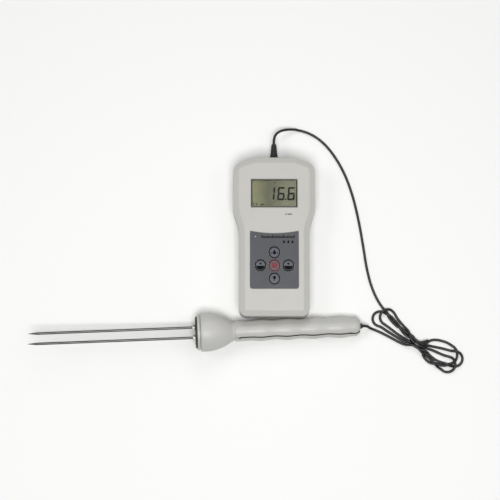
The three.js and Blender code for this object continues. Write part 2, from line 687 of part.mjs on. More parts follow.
add(
  meter,
  "display_lens",
  block(
    [-LENS_HALF[0], WINDOW.middle - LENS_HALF[1], WINDOW.lensTop - SEAT_GAP - LENS_THICKNESS],
    [LENS_HALF[0], WINDOW.middle + LENS_HALF[1], WINDOW.lensTop - SEAT_GAP],
  ),
  "clear",
);
add(
  meter,
  "display_panel",
  block(
    [-LENS_HALF[0], WINDOW.middle - LENS_HALF[1], PANEL_BOTTOM_Z],
    [LENS_HALF[0], WINDOW.middle + LENS_HALF[1], PANEL_TOP_Z],
  ),
  "display",
);
const stripInner = LENS_HALF[1] - STRIP_WIDTH;
add(
  meter,
  "display_backlight",
  block(
    [-LENS_HALF[0], WINDOW.middle - stripInner + SLIDE_GAP, BACKLIGHT_TOP_Z - BACKLIGHT_THICKNESS],
    [LENS_HALF[0], WINDOW.middle + stripInner - SLIDE_GAP, BACKLIGHT_TOP_Z],
  ),
  "white",
);
for (const [name, side] of [
  ["lower", -1],
  ["upper", 1],
]) {
  const edges = [LENS_HALF[1], stripInner].map((out) => WINDOW.middle + side * out).sort((a, b) => a - b);
  add(
    meter,
    `display_strip_${name}`,
    block(
      [-LENS_HALF[0] + 1, edges[0], BOARD_TOP_Z + SEAT_GAP],
      [LENS_HALF[0] - 1, edges[1], BACKLIGHT_TOP_Z],
    ),
    "rubber",
  );
}
const holderInner = LENS_HALF.map((half) => half + SLIDE_GAP);
const holderOuter = holderInner.map((half) => half + HOLDER_WALL);
add(
  meter,
  "display_holder",
  cut(
    block(
      [-holderOuter[0], WINDOW.middle - holderOuter[1], BOARD_TOP_Z + SEAT_GAP],
      [holderOuter[0], WINDOW.middle + holderOuter[1], HOLDER_TOP_Z],
    ),
    block(
      [-holderInner[0], WINDOW.middle - holderInner[1], BOARD_TOP_Z - 1],
      [holderInner[0], WINDOW.middle + holderInner[1], HOLDER_TOP_Z + 1],
    ),
  ),
  "black",
);

// ---------------------------------------------------------------- circuit board and what stands on it

function circuitBoard() {
  const edge = caseLoft([
    [BOARD_BOTTOM_Z, CASE_WALL + CASE_DRAFT + BOARD_MARGIN],
    [BOARD_TOP_Z, CASE_WALL + CASE_DRAFT + BOARD_MARGIN],
  ]);
  const through = [BOARD_BOTTOM_Z - 1, BOARD_TOP_Z + 1];
  const holes = BOSS_PLACES.map((place) => post(place, BOSS_NECK + SLIDE_GAP, ...through));
  const glandNotch = block(
    [-GLAND_FLANGE - SLIDE_GAP, GLAND_INNER_Y - SLIDE_GAP, through[0]],
    [GLAND_FLANGE + SLIDE_GAP, TOP_Y, through[1]],
  );
  return cut(edge, ...holes, glandNotch);
}
add(meter, "circuit_board", circuitBoard(), "board");

const chipSide = 10;
add(
  meter,
  "processor",
  block(
    [-chipSide / 2, FOOT_Y + 9, BOARD_TOP_Z + SEAT_GAP],
    [chipSide / 2, FOOT_Y + 9 + chipSide, BOARD_TOP_Z + SEAT_GAP + 1.4],
  ),
  "black",
);
add(
  meter,
  "cable_socket",
  block([-4, TOP_Y - 12.5, BOARD_TOP_Z + SEAT_GAP], [4, TOP_Y - 8, BOARD_TOP_Z + SEAT_GAP + 4.5]),
  "white",
);
add(
  meter,
  "status_light",
  join(
    post(LIGHT_PLACE, LIGHT_RADIUS, BOARD_TOP_Z + 1, FACE_Z - 0.1, 12),
    post(LIGHT_PLACE, 1.6, BOARD_TOP_Z + SEAT_GAP, BOARD_TOP_Z + 2.2, 12),
  ),
  "clear",
);

// ---------------------------------------------------------------- keypad

const keypadHoles = Object.values(KEY_PLACES).map((place) =>
  post(place, KEY_DIAMETER / 2 + SLIDE_GAP, KEYPAD_FLOOR_Z - 1, FACE_Z + 1, KEY_SIDES),
);
add(
  meter,
  "keypad_panel",
  cut(
    loft([
      { at: KEYPAD_FLOOR_Z + SEAT_GAP, outline: keypadOutline(0) },
      { at: KEYPAD_FLOOR_Z + SEAT_GAP + KEYPAD_THICKNESS, outline: keypadOutline(0) },
    ]),
    ...keypadHoles,
    post(LIGHT_PLACE, LIGHT_RADIUS + SLIDE_GAP, KEYPAD_FLOOR_Z - 1, FACE_Z + 1, 12),
  ),
  "keypad",
);

// A key is a crowned disc on a stem whose foot stands in the switch.
const stemFoot = SWITCH_TOP_Z - STEM_IN_SWITCH;
const key = geometryOf(
  turnedY(
    [
      [stemFoot, 0],
      [stemFoot, KEY_STEM_RADIUS],
      [KEY_UNDER_Z, KEY_STEM_RADIUS],
      [KEY_UNDER_Z, KEY_DIAMETER / 2],
      [KEY_TOP_Z - 0.3, KEY_DIAMETER / 2],
      [KEY_TOP_Z - 0.08, KEY_DIAMETER / 2 - 0.5],
      [KEY_TOP_Z, KEY_DIAMETER / 2 - 1.6],
      [KEY_TOP_Z, 0],
    ],
    KEY_SIDES,
  ),
).rotateX(Math.PI / 2);
const keySwitch = geometryOf(
  cut(
    block(
      [-SWITCH_SIDE / 2, -SWITCH_SIDE / 2, BOARD_TOP_Z + SEAT_GAP],
      [SWITCH_SIDE / 2, SWITCH_SIDE / 2, SWITCH_TOP_Z],
    ),
    post([0, 0], KEY_STEM_RADIUS + SLIDE_GAP, stemFoot - KEY_TRAVEL - SEAT_GAP, SWITCH_TOP_Z + 1, 16),
  ),
);
for (const [name, [x, y]] of Object.entries(KEY_PLACES)) {
  add(meter, `key_${name}`, key, name === "power" ? "red" : "key").position.set(x, y, 0);
  add(meter, `switch_${name}`, keySwitch, "black").position.set(x, y, 0);
}

// ---------------------------------------------------------------- batteries and their contacts

// A cell lies along Y, its nub at the upper end; every other one is turned round.
const cell = geometryOf(
  turnedY(
    [
      [0, 0],
      [0, CELL_RADIUS - CELL_CRIMP],
      [CELL_CRIMP, CELL_RADIUS],
      [CELL_LENGTH - CELL_CRIMP, CELL_RADIUS],
      [CELL_LENGTH, CELL_RADIUS - CELL_CRIMP],
      [CELL_LENGTH, CELL_NUB_RADIUS],
      [CELL_LENGTH + CELL_NUB_LENGTH, CELL_NUB_RADIUS],
      [CELL_LENGTH + CELL_NUB_LENGTH, 0],
    ],
    20,
  ),
);
const cellPlaces = Array.from({ length: CELL_COUNT }, (_, i) => (i - (CELL_COUNT - 1) / 2) * CELL_PITCH);
const cellFoot = POCKET.low + POCKET_GAP + CONTACT_THICKNESS + SEAT_GAP + SPRING_LENGTH + SEAT_GAP;
const pocketMiddle = (POCKET.low + POCKET.high) / 2;
cellPlaces.forEach((x, i) => {
  const mesh = add(meter, `battery_${i + 1}`, cell, "cell");
  const turned = i % 2 === 1;
  mesh.rotation.z = turned ? Math.PI : 0;
  mesh.position.set(x, turned ? 2 * pocketMiddle - cellFoot : cellFoot, CELL_Z);
});

// A conical spring standing on its plate, its axis along +Y from the plate's face.
function contactSpring() {
  const steps = SPRING_TURNS * SPRING_STEPS;
  const turns = Array.from({ length: steps + 1 }, (_, i) => {
    const share = i / steps;
    const angle = 2 * Math.PI * SPRING_TURNS * share;
    const radius = SPRING_RADII[0] + (SPRING_RADII[1] - SPRING_RADII[0]) * share;
    const rise = share * (SPRING_LENGTH - 2 * SPRING_WIRE) + SPRING_WIRE / 2;
    return [Math.cos(angle) * radius, rise, Math.sin(angle) * radius];
  });
  const path = new THREE.CatmullRomCurve3(turns.map((p) => new THREE.Vector3(...p)));
  const section = new THREE.Shape(
    Array.from({ length: 5 }, (_, i) => {
      const angle = (2 * Math.PI * i) / 5;
      return new THREE.Vector2(Math.cos(angle) * SPRING_WIRE, Math.sin(angle) * SPRING_WIRE);
    }),
  );
  return solidOf(new THREE.ExtrudeGeometry(section, { steps, extrudePath: path }));
}

// Plates at both ends of the pocket join the cells in a row: the cells each one touches, and its end.
const CONTACTS = [
  ["battery_contact_lower_left", [0], "low"],
  ["battery_contact_lower_middle", [1, 2], "low"],
  ["battery_contact_lower_right", [3], "low"],
  ["battery_contact_upper_left", [0, 1], "high"],
  ["battery_contact_upper_right", [2, 3], "high"],
];
const plateHalf = CELL_RADIUS - 0.8;
for (const [name, cells, end] of CONTACTS) {
  const atFoot = end === "low";
  const middle = (cellPlaces[cells[0]] + cellPlaces[cells.at(-1)]) / 2;
  const reach = cellPlaces[cells.at(-1)] - middle + plateHalf;
  const plate = block([-reach, 0, CELL_Z - plateHalf], [reach, CONTACT_THICKNESS, CELL_Z + plateHalf]);
  const sprung = cells.filter((i) => (i % 2 === 0) === atFoot);
  const springs = sprung.map((i) => {
    const x = cellPlaces[i] - middle;
    return contactSpring().translate([atFoot ? x : -x, CONTACT_THICKNESS, CELL_Z]);
  });
  const mesh = add(meter, name, join(plate, ...springs), "steel");
  mesh.rotation.z = atFoot ? 0 : Math.PI;
  mesh.position.set(middle, atFoot ? POCKET.low + POCKET_GAP : POCKET.high - POCKET_GAP, 0);
}

// ---------------------------------------------------------------- gland

add(
  meter,
  "cord_gland",
  turnedY(
    [
      [GLAND_INNER_Y, 0],
      [GLAND_INNER_Y, GLAND_FLANGE],
      [GLAND_INNER_Y + GLAND_SHOULDER, GLAND_FLANGE],
      [GLAND_INNER_Y + GLAND_SHOULDER, GLAND_NECK],
      [TOP_Y + SEAM_GAP, GLAND_NECK],
      [TOP_Y + SEAM_GAP, GLAND_BASE],
      [TOP_Y + 2.4, GLAND_BASE],
      [TOP_Y + 3.2, GLAND_BASE - 0.7],
      [TOP_Y + GLAND_LENGTH, GLAND_TIP],
      [TOP_Y + GLAND_LENGTH, 0],
    ],
    24,
  ).translate([0, 0, PARTING_Z]),
  "rubber",
);

// ---------------------------------------------------------------- probe

// A convex curve from the rim and a hollow one into the neck, as [along, radius] pairs.
function bellProfile(shrink) {
  const turn = 0.86; // share of the length where the curve turns hollow
  const steps = 5;
  const drop = BELL_RADIUS - NECK_RADIUS;
  const curve = Array.from({ length: 2 * steps + 1 }, (_, i) => {
    const share = i / (2 * steps);
    const x = BELL_STRAIGHT + share * (BELL_LENGTH - BELL_STRAIGHT);
    const convexFall = share ** 2.1 / turn ** 1.1;
    const hollowFall = 1 - (1 - share) ** 2 / (1 - turn);
    const fall = share < turn ? convexFall : hollowFall;
    return [x, BELL_RADIUS - shrink - drop * fall];
  });
  return [[SEAM_GAP, BELL_RADIUS - shrink], ...curve];
}

function probeBell() {
  const outside = bellProfile(0);
  outside[0][1] -= 0.4;
  outside.splice(1, 0, [SEAM_GAP + 0.4, BELL_RADIUS]);
  const inside = bellProfile(BELL_WALL);
  const insideEnd = inside.findIndex(([, radius]) => radius < NECK_RADIUS);
  const bore = inside.slice(0, insideEnd < 0 ? inside.length : insideEnd);
  const neck = [
    [bore.at(-1)[0] + 1, NECK_BORE],
    [BELL_LENGTH + 1, NECK_BORE],
    [BELL_LENGTH + 1, 0],
  ];
  return cut(
    turnedX([[SEAM_GAP, 0], ...outside, [BELL_LENGTH, 0]], BELL_SIDES),
    turnedX([[-1, 0], [-1, BELL_RADIUS - BELL_WALL], ...bore, ...neck], BELL_SIDES),
  );
}
add(probe, "probe_bell", probeBell(), "shell");

// Section of the handle: an oval with slightly flattened sides.
function handleOutline(halfWidth, halfHeight, points = 24) {
  return Array.from({ length: points }, (_, i) => {
    const angle = (2 * Math.PI * i) / points;
    const part = (value) => Math.sign(value) * Math.abs(value) ** (2 / HANDLE_SQUARENESS);
    return new THREE.Vector2(halfWidth * part(Math.cos(angle)), halfHeight * part(Math.sin(angle)));
  });
}
const alongX = (u, v, at) => [at, u, v];

function handleSection(at, share, grow = 0) {
  return {
    at,
    outline: handleOutline(HANDLE_HALF_WIDTH * share + grow, HANDLE_HALF_HEIGHT * share + grow),
  };
}

function handleBody() {
  const waveStart = HANDLE_START + GRIP_WAVE_FROM_NECK;
  const stations = 27;
  const body = Array.from({ length: stations + 1 }, (_, i) => {
    const at = HANDLE_START + ((CONTACT_X - HANDLE_START) * i) / stations;
    const fade = THREE.MathUtils.smoothstep(at, HANDLE_START, waveStart + GRIP_WAVE_PITCH / 4);
    const wave = fade * GRIP_WAVE * Math.sin((2 * Math.PI * (at - waveStart)) / GRIP_WAVE_PITCH);
    return handleSection(at, 1, wave);
  });
  return loft([...body, handleSection(HANDLE_END, HANDLE_END_SHARE)], alongX);
}

function handleHalf(side) {
  const hollow = loft(
    [
      handleSection(HANDLE_START - SPIGOT_LENGTH - 1, 0.55),
      handleSection(HANDLE_START + 1, 0.55),
      handleSection(HANDLE_START + 5, 1, -HANDLE_WALL - GRIP_WAVE),
      handleSection(CONTACT_X - 2, 1, -HANDLE_WALL - GRIP_WAVE),
    ],
    alongX,
  );
  const grommetBore = turnedX(
    [
      [CONTACT_X - 3, 0],
      [CONTACT_X - 3, GROMMET_RADIUS + SLIDE_GAP],
      [HANDLE_END + 1, GROMMET_RADIUS + SLIDE_GAP],
      [HANDLE_END + 1, 0],
    ],
    20,
  );
  const spigotRadius = NECK_BORE - SLIDE_GAP;
  const spigot = turnedX(
    [
      [HANDLE_START - SPIGOT_LENGTH, 0],
      [HANDLE_START - SPIGOT_LENGTH, spigotRadius],
      [HANDLE_START + 2, spigotRadius],
      [HANDLE_START + 2, 0],
    ],
    28,
  );
  const bossReach = HANDLE_HALF_HEIGHT - HANDLE_WALL / 2;
  const bosses = HANDLE_SCREW_PLACES.map((x) =>
    post([x, 0], HANDLE_BOSS_RADIUS, -bossReach, bossReach, 16),
  );
  const headSeat = HANDLE_SCREW_DEPTH - HANDLE_HALF_HEIGHT;
  const holes = HANDLE_SCREW_PLACES.flatMap((x) => [
    post([x, 0], HANDLE_SCREW_RADIUS + SLIDE_GAP, headSeat - 1, HANDLE_HALF_HEIGHT - 2, 12),
    post([x, 0], HANDLE_SCREW_HEAD + SLIDE_GAP, -HANDLE_HALF_HEIGHT - 2, headSeat, 16),
  ]);
  const whole = cut(join(cut(join(handleBody(), spigot), hollow), ...bosses), grommetBore, ...holes);
  const far = HANDLE_END + 20;
  const half = block(
    [-1, -far, side > 0 ? SEAM_GAP / 2 : -far],
    [far, far, side > 0 ? far : -SEAM_GAP / 2],
  );
  return whole.intersect(half);
}
add(probe, "probe_handle_upper", handleHalf(1), "shell");
add(probe, "probe_handle_lower", handleHalf(-1), "shell");

const handleScrew = geometryOf(
  screw(
    HANDLE_SCREW_DEPTH - HANDLE_HALF_HEIGHT - SEAT_GAP,
    HANDLE_SCREW_LENGTH,
    HANDLE_SCREW_RADIUS,
    HANDLE_SCREW_HEAD,
    HANDLE_SCREW_HEAD_HEIGHT,
  ),
);
HANDLE_SCREW_PLACES.forEach((x, i) => {
  add(probe, `handle_screw_${i + 1}`, handleScrew, "steel").position.x = x;
});

add(
  probe,
  "mouth_ring",
  turnedX(
    [
      [-RING_THICKNESS, PLATE_RADIUS + SLIDE_GAP],
      [-RING_THICKNESS, RING_RADIUS - 0.3],
      [-RING_THICKNESS + 0.3, RING_RADIUS],
      [0, RING_RADIUS],
      [0, BELL_RADIUS - BELL_WALL - SLIDE_GAP],
      [3, BELL_RADIUS - BELL_WALL - SLIDE_GAP],
      [3, PLATE_RADIUS + SLIDE_GAP],
      [-RING_THICKNESS, PLATE_RADIUS + SLIDE_GAP],
    ],
    BELL_SIDES,
  ),
  "shell",
);

const NEEDLE_PLACES = { near: -NEEDLE_SPACING / 2, far: NEEDLE_SPACING / 2 };
const needlePlate = turnedX(
  [
    [PLATE_FACE_X, 0],
    [PLATE_FACE_X, PLATE_RADIUS - 0.4],
    [PLATE_FACE_X + 0.4, PLATE_RADIUS],
    [PLATE_FACE_X + PLATE_THICKNESS, PLATE_RADIUS],
    [PLATE_FACE_X + PLATE_THICKNESS, 0],
  ],
  BELL_SIDES,
);
// Holes that a needle goes through with clearance.
const needleBore = (from, to) =>
  turnedX(
    [
      [from, 0],
      [from, NEEDLE_RADIUS + SLIDE_GAP],
      [to, NEEDLE_RADIUS + SLIDE_GAP],
      [to, 0],
    ],
    16,
  );
const needleBores = (from, to) =>
  Object.values(NEEDLE_PLACES).map((y) => needleBore(from, to).translate([0, y, 0]));
add(
  probe,
  "needle_plate",
  cut(needlePlate, ...needleBores(-PLATE_THICKNESS, PLATE_THICKNESS)),
  "black",
);

const needle = geometryOf(
  turnedX(
    [
      [-NEEDLE_REACH, 0],
      [-NEEDLE_REACH + 0.5, 0.18],
      [-NEEDLE_REACH + NEEDLE_POINT, NEEDLE_RADIUS],
      [NEEDLE_TAIL, NEEDLE_RADIUS],
      [NEEDLE_TAIL, 0],
    ],
    16,
  ),
);
const nutAt = (from) =>
  geometryOf(
    cut(
      turnedX(
        [
          [from, 0],
          [from, NUT_RADIUS],
          [from + NUT_THICKNESS, NUT_RADIUS],
          [from + NUT_THICKNESS, 0],
        ],
        6,
      ),
      needleBore(from - 1, from + NUT_THICKNESS + 1),
    ),
  );
const outerNut = nutAt(PLATE_FACE_X - SEAT_GAP - NUT_THICKNESS);
const terminalNut = nutAt(PLATE_FACE_X + PLATE_THICKNESS + SEAT_GAP);
for (const [name, y] of Object.entries(NEEDLE_PLACES)) {
  add(probe, `needle_${name}`, needle, "steel").position.y = y;
  add(probe, `needle_nut_${name}`, outerNut, "steel").position.y = y;
  add(probe, `terminal_nut_${name}`, terminalNut, "brass").position.y = y;
}

add(
  probe,
  "probe_board",
  cut(
    turnedX(
      [
        [PROBE_BOARD_X, 0],
        [PROBE_BOARD_X, PROBE_BOARD_RADIUS],
        [PROBE_BOARD_X + BOARD_THICKNESS, PROBE_BOARD_RADIUS],
        [PROBE_BOARD_X + BOARD_THICKNESS, 0],
      ],
      32,
    ),
    ...needleBores(0, 2 * PROBE_BOARD_X),
  ),
  "board",
);

add(
  probe,
  "handle_grommet",
  turnedX(
    [
      [CONTACT_X - 1, 0],
      [CONTACT_X - 1, GROMMET_RADIUS],
      [HANDLE_END + SEAM_GAP, GROMMET_RADIUS],
      [HANDLE_END + GROMMET_PROUD, GROMMET_RADIUS - 0.5],
      [HANDLE_END + GROMMET_PROUD, 0],
    ],
    20,
  ),
  "rubber",
);

probe.rotation.set(radians(PROBE_ROLL), PROBE_PITCH, radians(PROBE_YAW), "ZYX");
probe.position.set(PROBE_X, FOOT_Y - PROBE_FROM_FOOT, 0);
probe.position.z = GROUND_GAP - new THREE.Box3().setFromObject(probe, true).min.z;
probe.updateMatrixWorld(true);

// ---------------------------------------------------------------- cord, hank and tie

const CORD_STEP = 5;
const leadStart = [0, TOP_Y + GLAND_LENGTH + SEAM_GAP, PARTING_Z];
add(cord, "cord_lead", tube([leadStart, ...LEAD_POINTS], CORD_DIAMETER, CORD_STEP), "rubber");

const tailStart = [SEAM_GAP, TAIL_STRAIGHT].map((out) =>
  probe.localToWorld(new THREE.Vector3(HANDLE_END + GROMMET_PROUD + out, 0, 0)).toArray(),
);
add(cord, "cord_tail", tube([...tailStart, ...TAIL_POINTS], CORD_DIAMETER, CORD_STEP), "rubber");

// A lobe of the hank: flat at the tie, and round at its far end.
const hankDirection = new THREE.Vector2(1, 0).rotateAround(new THREE.Vector2(), radians(HANK_ANGLE));
function lobe({ centre, radius, neck }) {
  const middle = new THREE.Vector2(...centre);
  const tie = new THREE.Vector2(...TIE_PLACE);
  const side = Math.sign(middle.clone().sub(tie).dot(hankDirection));
  const along = hankDirection.clone().multiplyScalar(side);
  const across = new THREE.Vector2(-along.y, along.x);
  const mouth = tie.clone().addScaledVector(along, TIE_LENGTH / 2 + SEAM_GAP);
  const start = Math.atan2(across.y, across.x);
  const arc = Array.from({ length: 17 }, (_, i) => {
    const angle = start - radians(200) * (i / 16) + radians(10);
    return new THREE.Vector2(Math.cos(angle), Math.sin(angle)).multiplyScalar(radius).add(middle);
  });
  const outline = [
    mouth.clone().addScaledVector(across, -neck),
    mouth.clone().addScaledVector(across, neck),
    ...arc,
  ];
  const settings = { depth: HANK_HEIGHT - GROUND_GAP, bevelEnabled: false };
  return new THREE.ExtrudeGeometry(new THREE.Shape(outline), settings).translate(0, 0, GROUND_GAP / 2);
}
for (const [name, shape] of Object.entries(LOBES)) add(cord, name, lobe(shape), "rubber");

const tie = add(
  cord,
  "cord_tie",
  new THREE.BoxGeometry(TIE_LENGTH, 2 * TIE_HALF_WIDTH, HANK_HEIGHT - 0.4),
  "black",
);
tie.position.set(...TIE_PLACE, HANK_HEIGHT / 2);
tie.rotation.z = radians(HANK_ANGLE);

const part = new THREE.Group();
part.add(meter, probe, cord);

export default part;
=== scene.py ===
# %% [markdown]
# # A moisture meter and its two-needle probe
#
# The meter lies on its back with its display up. A thin black cord leaves its far end, is folded into a
# tied hank, and goes into the handle of a probe that carries two long steel needles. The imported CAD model
# is loaded first. It fixes every size and place, and this script gives the pieces their looks.

# %% Load the frame
import json
import math

import bmesh
import bpy
import numpy as np
from mathutils import Euler, Matrix, Vector


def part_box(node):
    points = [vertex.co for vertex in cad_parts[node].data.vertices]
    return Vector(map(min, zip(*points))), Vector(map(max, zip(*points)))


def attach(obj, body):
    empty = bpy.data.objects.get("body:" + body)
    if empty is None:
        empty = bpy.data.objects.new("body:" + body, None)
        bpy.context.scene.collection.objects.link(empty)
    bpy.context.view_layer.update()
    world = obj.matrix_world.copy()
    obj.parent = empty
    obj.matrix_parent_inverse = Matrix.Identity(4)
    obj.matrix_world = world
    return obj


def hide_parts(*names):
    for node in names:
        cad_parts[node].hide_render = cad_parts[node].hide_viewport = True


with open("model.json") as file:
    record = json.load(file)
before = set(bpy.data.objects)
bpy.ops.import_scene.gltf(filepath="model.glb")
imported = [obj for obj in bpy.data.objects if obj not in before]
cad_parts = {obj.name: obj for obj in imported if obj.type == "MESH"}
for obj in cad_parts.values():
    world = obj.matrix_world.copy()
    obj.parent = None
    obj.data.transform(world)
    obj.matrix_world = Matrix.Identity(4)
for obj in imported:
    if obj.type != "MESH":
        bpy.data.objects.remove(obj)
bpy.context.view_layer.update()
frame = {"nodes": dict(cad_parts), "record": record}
MM = 0.001

# %% [markdown]
# ## The camera
#
# The camera looks down on the face of the meter from six degrees short of overhead, from a little over a
# metre away, so that the sides of the cases hardly show and parallel edges stay nearly parallel. It is
# made first, because the loose cord is judged by what the camera sees.

# %% Camera
VIEW_CENTRE = Vector((-18.2, -8.9, 14)) * MM
VIEW_DISTANCE = 1.1
VIEW_ELEVATION = math.radians(84)
LENS_MM = 104.6


def look_at(obj, target):
    """Turns a light or the camera towards a point."""
    obj.rotation_euler = (Vector(target) - obj.location).to_track_quat("-Z", "Y").to_euler()


up_and_back = Vector((0, -math.cos(VIEW_ELEVATION), math.sin(VIEW_ELEVATION)))
bpy.ops.object.camera_add(location=VIEW_CENTRE + up_and_back * VIEW_DISTANCE)
camera = bpy.context.object
camera.data.lens = LENS_MM
look_at(camera, VIEW_CENTRE)
bpy.context.scene.camera = camera
print("camera at", [round(c, 3) for c in camera.location])

# %% [markdown]
# ## Colours, nodes and materials
#
# Colours are written as the hex values that a paint program shows. Blender works with linear light, so one
# function turns one into the other. A second function adds a shader node, sets its sockets and joins its
# links in one call, which keeps each material below short enough to read. Noise of a real size drives the
# colour, the gloss and the relief of nearly every finish here, so its coordinates are in millimetres.


# %% Helpers for materials
def hex_colour(code):
    """An sRGB hex colour as the linear colour that a socket takes."""
    channels = [int(code[i : i + 2], 16) / 255 for i in (1, 3, 5)]
    linear = [c / 12.92 if c <= 0.04045 else ((c + 0.055) / 1.055) ** 2.4 for c in channels]
    return (*linear, 1)


def set_sockets(tree, node, **sockets):
    """Sets or links a node's sockets. A node that is given as a value stands for its first output."""
    for name, value in sockets.items():
        key = int(name[1:]) if name[0] == "i" and name[1:].isdigit() else name.replace("_", " ")
        source = value.outputs[0] if isinstance(value, bpy.types.Node) else value
        if isinstance(source, bpy.types.NodeSocket):
            tree.links.new(source, node.inputs[key])
        else:
            node.inputs[key].default_value = source


def add_node(tree, kind, settings=None, stops=(), **sockets):
    """Adds a node with its settings and links. Stops are a colour ramp's positions and hex colours."""
    node = tree.nodes.new(kind)
    for name, value in (settings or {}).items():
        setattr(node, name, value)
    if stops:
        elements = node.color_ramp.elements
        elements[0].position, elements[-1].position = stops[0][0], stops[-1][0]
        for position, code in stops[1:-1]:
            elements.new(position)
        for element, (position, code) in zip(elements, stops):
            element.color = hex_colour(code)
    set_sockets(tree, node, **sockets)
    return node


def new_material(name, **shader_sockets):
    """A material with one Principled shader. Returns it, its node tree and the shader."""
    material = bpy.data.materials.new(name)
    material.use_nodes = True
    tree = material.node_tree
    shader = tree.nodes["Principled BSDF"]
    set_sockets(tree, shader, **shader_sockets)
    return material, tree, shader


def object_place(tree, scale=(1, 1, 1)):
    """Object coordinates in millimetres, stretched by scale."""
    place = add_node(tree, "ShaderNodeTexCoord")
    stretch = [s / MM for s in scale]
    return add_node(tree, "ShaderNodeMapping", Vector=place.outputs["Object"], Scale=stretch)


MULTIPLY = {"data_type": "RGBA", "blend_type": "MULTIPLY"}


def simple_finish(name, dark, light, patch_mm, rough, depth_mm, stretch=(1, 1, 1), **sockets):
    """A finish whose colour and gloss both drift between two values over patches of a real size."""
    material, tree, shader = new_material(name, **sockets)
    place = object_place(tree, stretch)
    patches = add_node(tree, "ShaderNodeTexNoise", Vector=place, Scale=1 / patch_mm, Detail=4.0)
    tone = add_node(tree, "ShaderNodeValToRGB", stops=((0, dark), (1, light)), Fac=patches)
    gloss = add_node(tree, "ShaderNodeMapRange", Value=patches, To_Min=rough[0], To_Max=rough[1])
    relief = add_node(tree, "ShaderNodeBump", Height=patches, Distance=depth_mm * MM, Strength=1.0)
    set_sockets(tree, shader, Base_Color=tone, Roughness=gloss, Normal=relief)
    return material


# %% [markdown]
# Both cases are injection moulded ABS in a light warm grey. The mould was spark eroded, which leaves a very
# fine even grain that takes the edge off every highlight. Handling leaves the gloss slightly uneven, and
# the colour drifts by a per cent or two over a few centimetres. The grain is about 0.35 mm.


# %% Moulded ABS
def moulded_abs(name, code, roughness, grain_mm=0.35, grain_depth_mm=0.012):
    material, tree, shader = new_material(name, IOR=1.54, Specular_IOR_Level=0.45)
    place = object_place(tree)
    clouds = add_node(tree, "ShaderNodeTexNoise", Vector=place, Scale=1 / 34, Detail=3.0)
    tint = add_node(tree, "ShaderNodeMapRange", Value=clouds, To_Min=0.955, To_Max=1.035)
    colour = add_node(tree, "ShaderNodeMix", MULTIPLY, i0=1.0, i6=hex_colour(code), i7=tint)
    smears = add_node(tree, "ShaderNodeTexNoise", Vector=place, Scale=1 / 9, Detail=4.0, Roughness=0.6)
    limits = dict(From_Min=0.3, From_Max=0.7, To_Min=roughness - 0.05, To_Max=roughness + 0.07)
    gloss = add_node(tree, "ShaderNodeMapRange", Value=smears, **limits)
    grain = add_node(tree, "ShaderNodeTexNoise", Vector=place, Scale=1 / grain_mm, Detail=2.0)
    relief = add_node(tree, "ShaderNodeBump", Height=grain, Distance=grain_depth_mm * MM, Strength=1.0)
    set_sockets(tree, shader, Base_Color=colour.outputs[2], Roughness=gloss, Normal=relief)
    return material


case_abs = moulded_abs("spark_textured_abs", "#BCBAB5", 0.46)
probe_abs = moulded_abs("satin_moulded_abs", "#BDBCB8", 0.4, grain_mm=0.5, grain_depth_mm=0.008)

# %% [markdown]
# ## Floor and light
#
# A plain pale floor, and soft lights high above it. Most of the light comes from nearly overhead, so that
# sloping faces are darker than level ones. Three weaker lights behind and beside it soften the shadows. None
# stands where the flat lens over the display would mirror it. The sky is a plain light grey, and weak.

# %% Floor, sky and lights
FLOOR_SIZE = 6.0
bpy.ops.mesh.primitive_plane_add(size=FLOOR_SIZE, location=(0, 0, 0))
floor = bpy.context.object
floor.name = "floor"
floor_paint = new_material("matt_white_paint", Base_Color=hex_colour("#F4F4F2"), Roughness=0.9)
floor.data.materials.append(floor_paint[0])

world = bpy.data.worlds.new("studio")
world.use_nodes = True
world.node_tree.nodes["Background"].inputs["Color"].default_value = hex_colour("#F2F4F6")
world.node_tree.nodes["Background"].inputs["Strength"].default_value = 0.22
bpy.context.scene.world = world
bpy.context.scene.view_settings.view_transform = "Standard"

LIGHTS = {  # place and size in metres, watts
    "overhead": ((0.0, -0.35, 1.25), 0.45, 10.5),
    "back": ((0.1, 0.9, 1.15), 0.7, 3.5),
    "left": ((-0.75, 0.2, 1.15), 0.5, 2.6),
    "right": ((0.75, 0.1, 1.15), 0.5, 1.4),
}
for name, (place, size, watts) in LIGHTS.items():
    bpy.ops.object.light_add(type="AREA", location=place)
    light = bpy.context.object
    light.name = name
    light.data.size = size
    light.data.energy = watts
    look_at(light, (0, 0, 0))
print("lights:", ", ".join(LIGHTS))

# %% [markdown]
# ## Helpers for modelling
#
# Each piece starts as a primitive at its size and place. Edit-mode tools then shape it, and what they act
# on is chosen in code, by place or by normal. These helpers hold the few moves that every piece needs.


# %% Helpers for modelling
def deselect():
    """Nothing selected in object mode."""
    if bpy.context.mode != "OBJECT":
        bpy.ops.object.mode_set(mode="OBJECT")
    bpy.ops.object.select_all(action="DESELECT")


def make_active(obj):
    deselect()
    obj.select_set(True)
    bpy.context.view_layer.objects.active = obj


def apply_place(obj):
    """Moves an object's place into its mesh, so that the object sits at the origin."""
    make_active(obj)
    bpy.ops.object.transform_apply(location=True, rotation=True, scale=True)


def edit(obj, kind="VERT"):
    """Into edit mode with nothing selected."""
    make_active(obj)
    bpy.ops.object.mode_set(mode="EDIT")
    bpy.ops.mesh.select_mode(type=kind)
    bpy.ops.mesh.select_all(action="DESELECT")


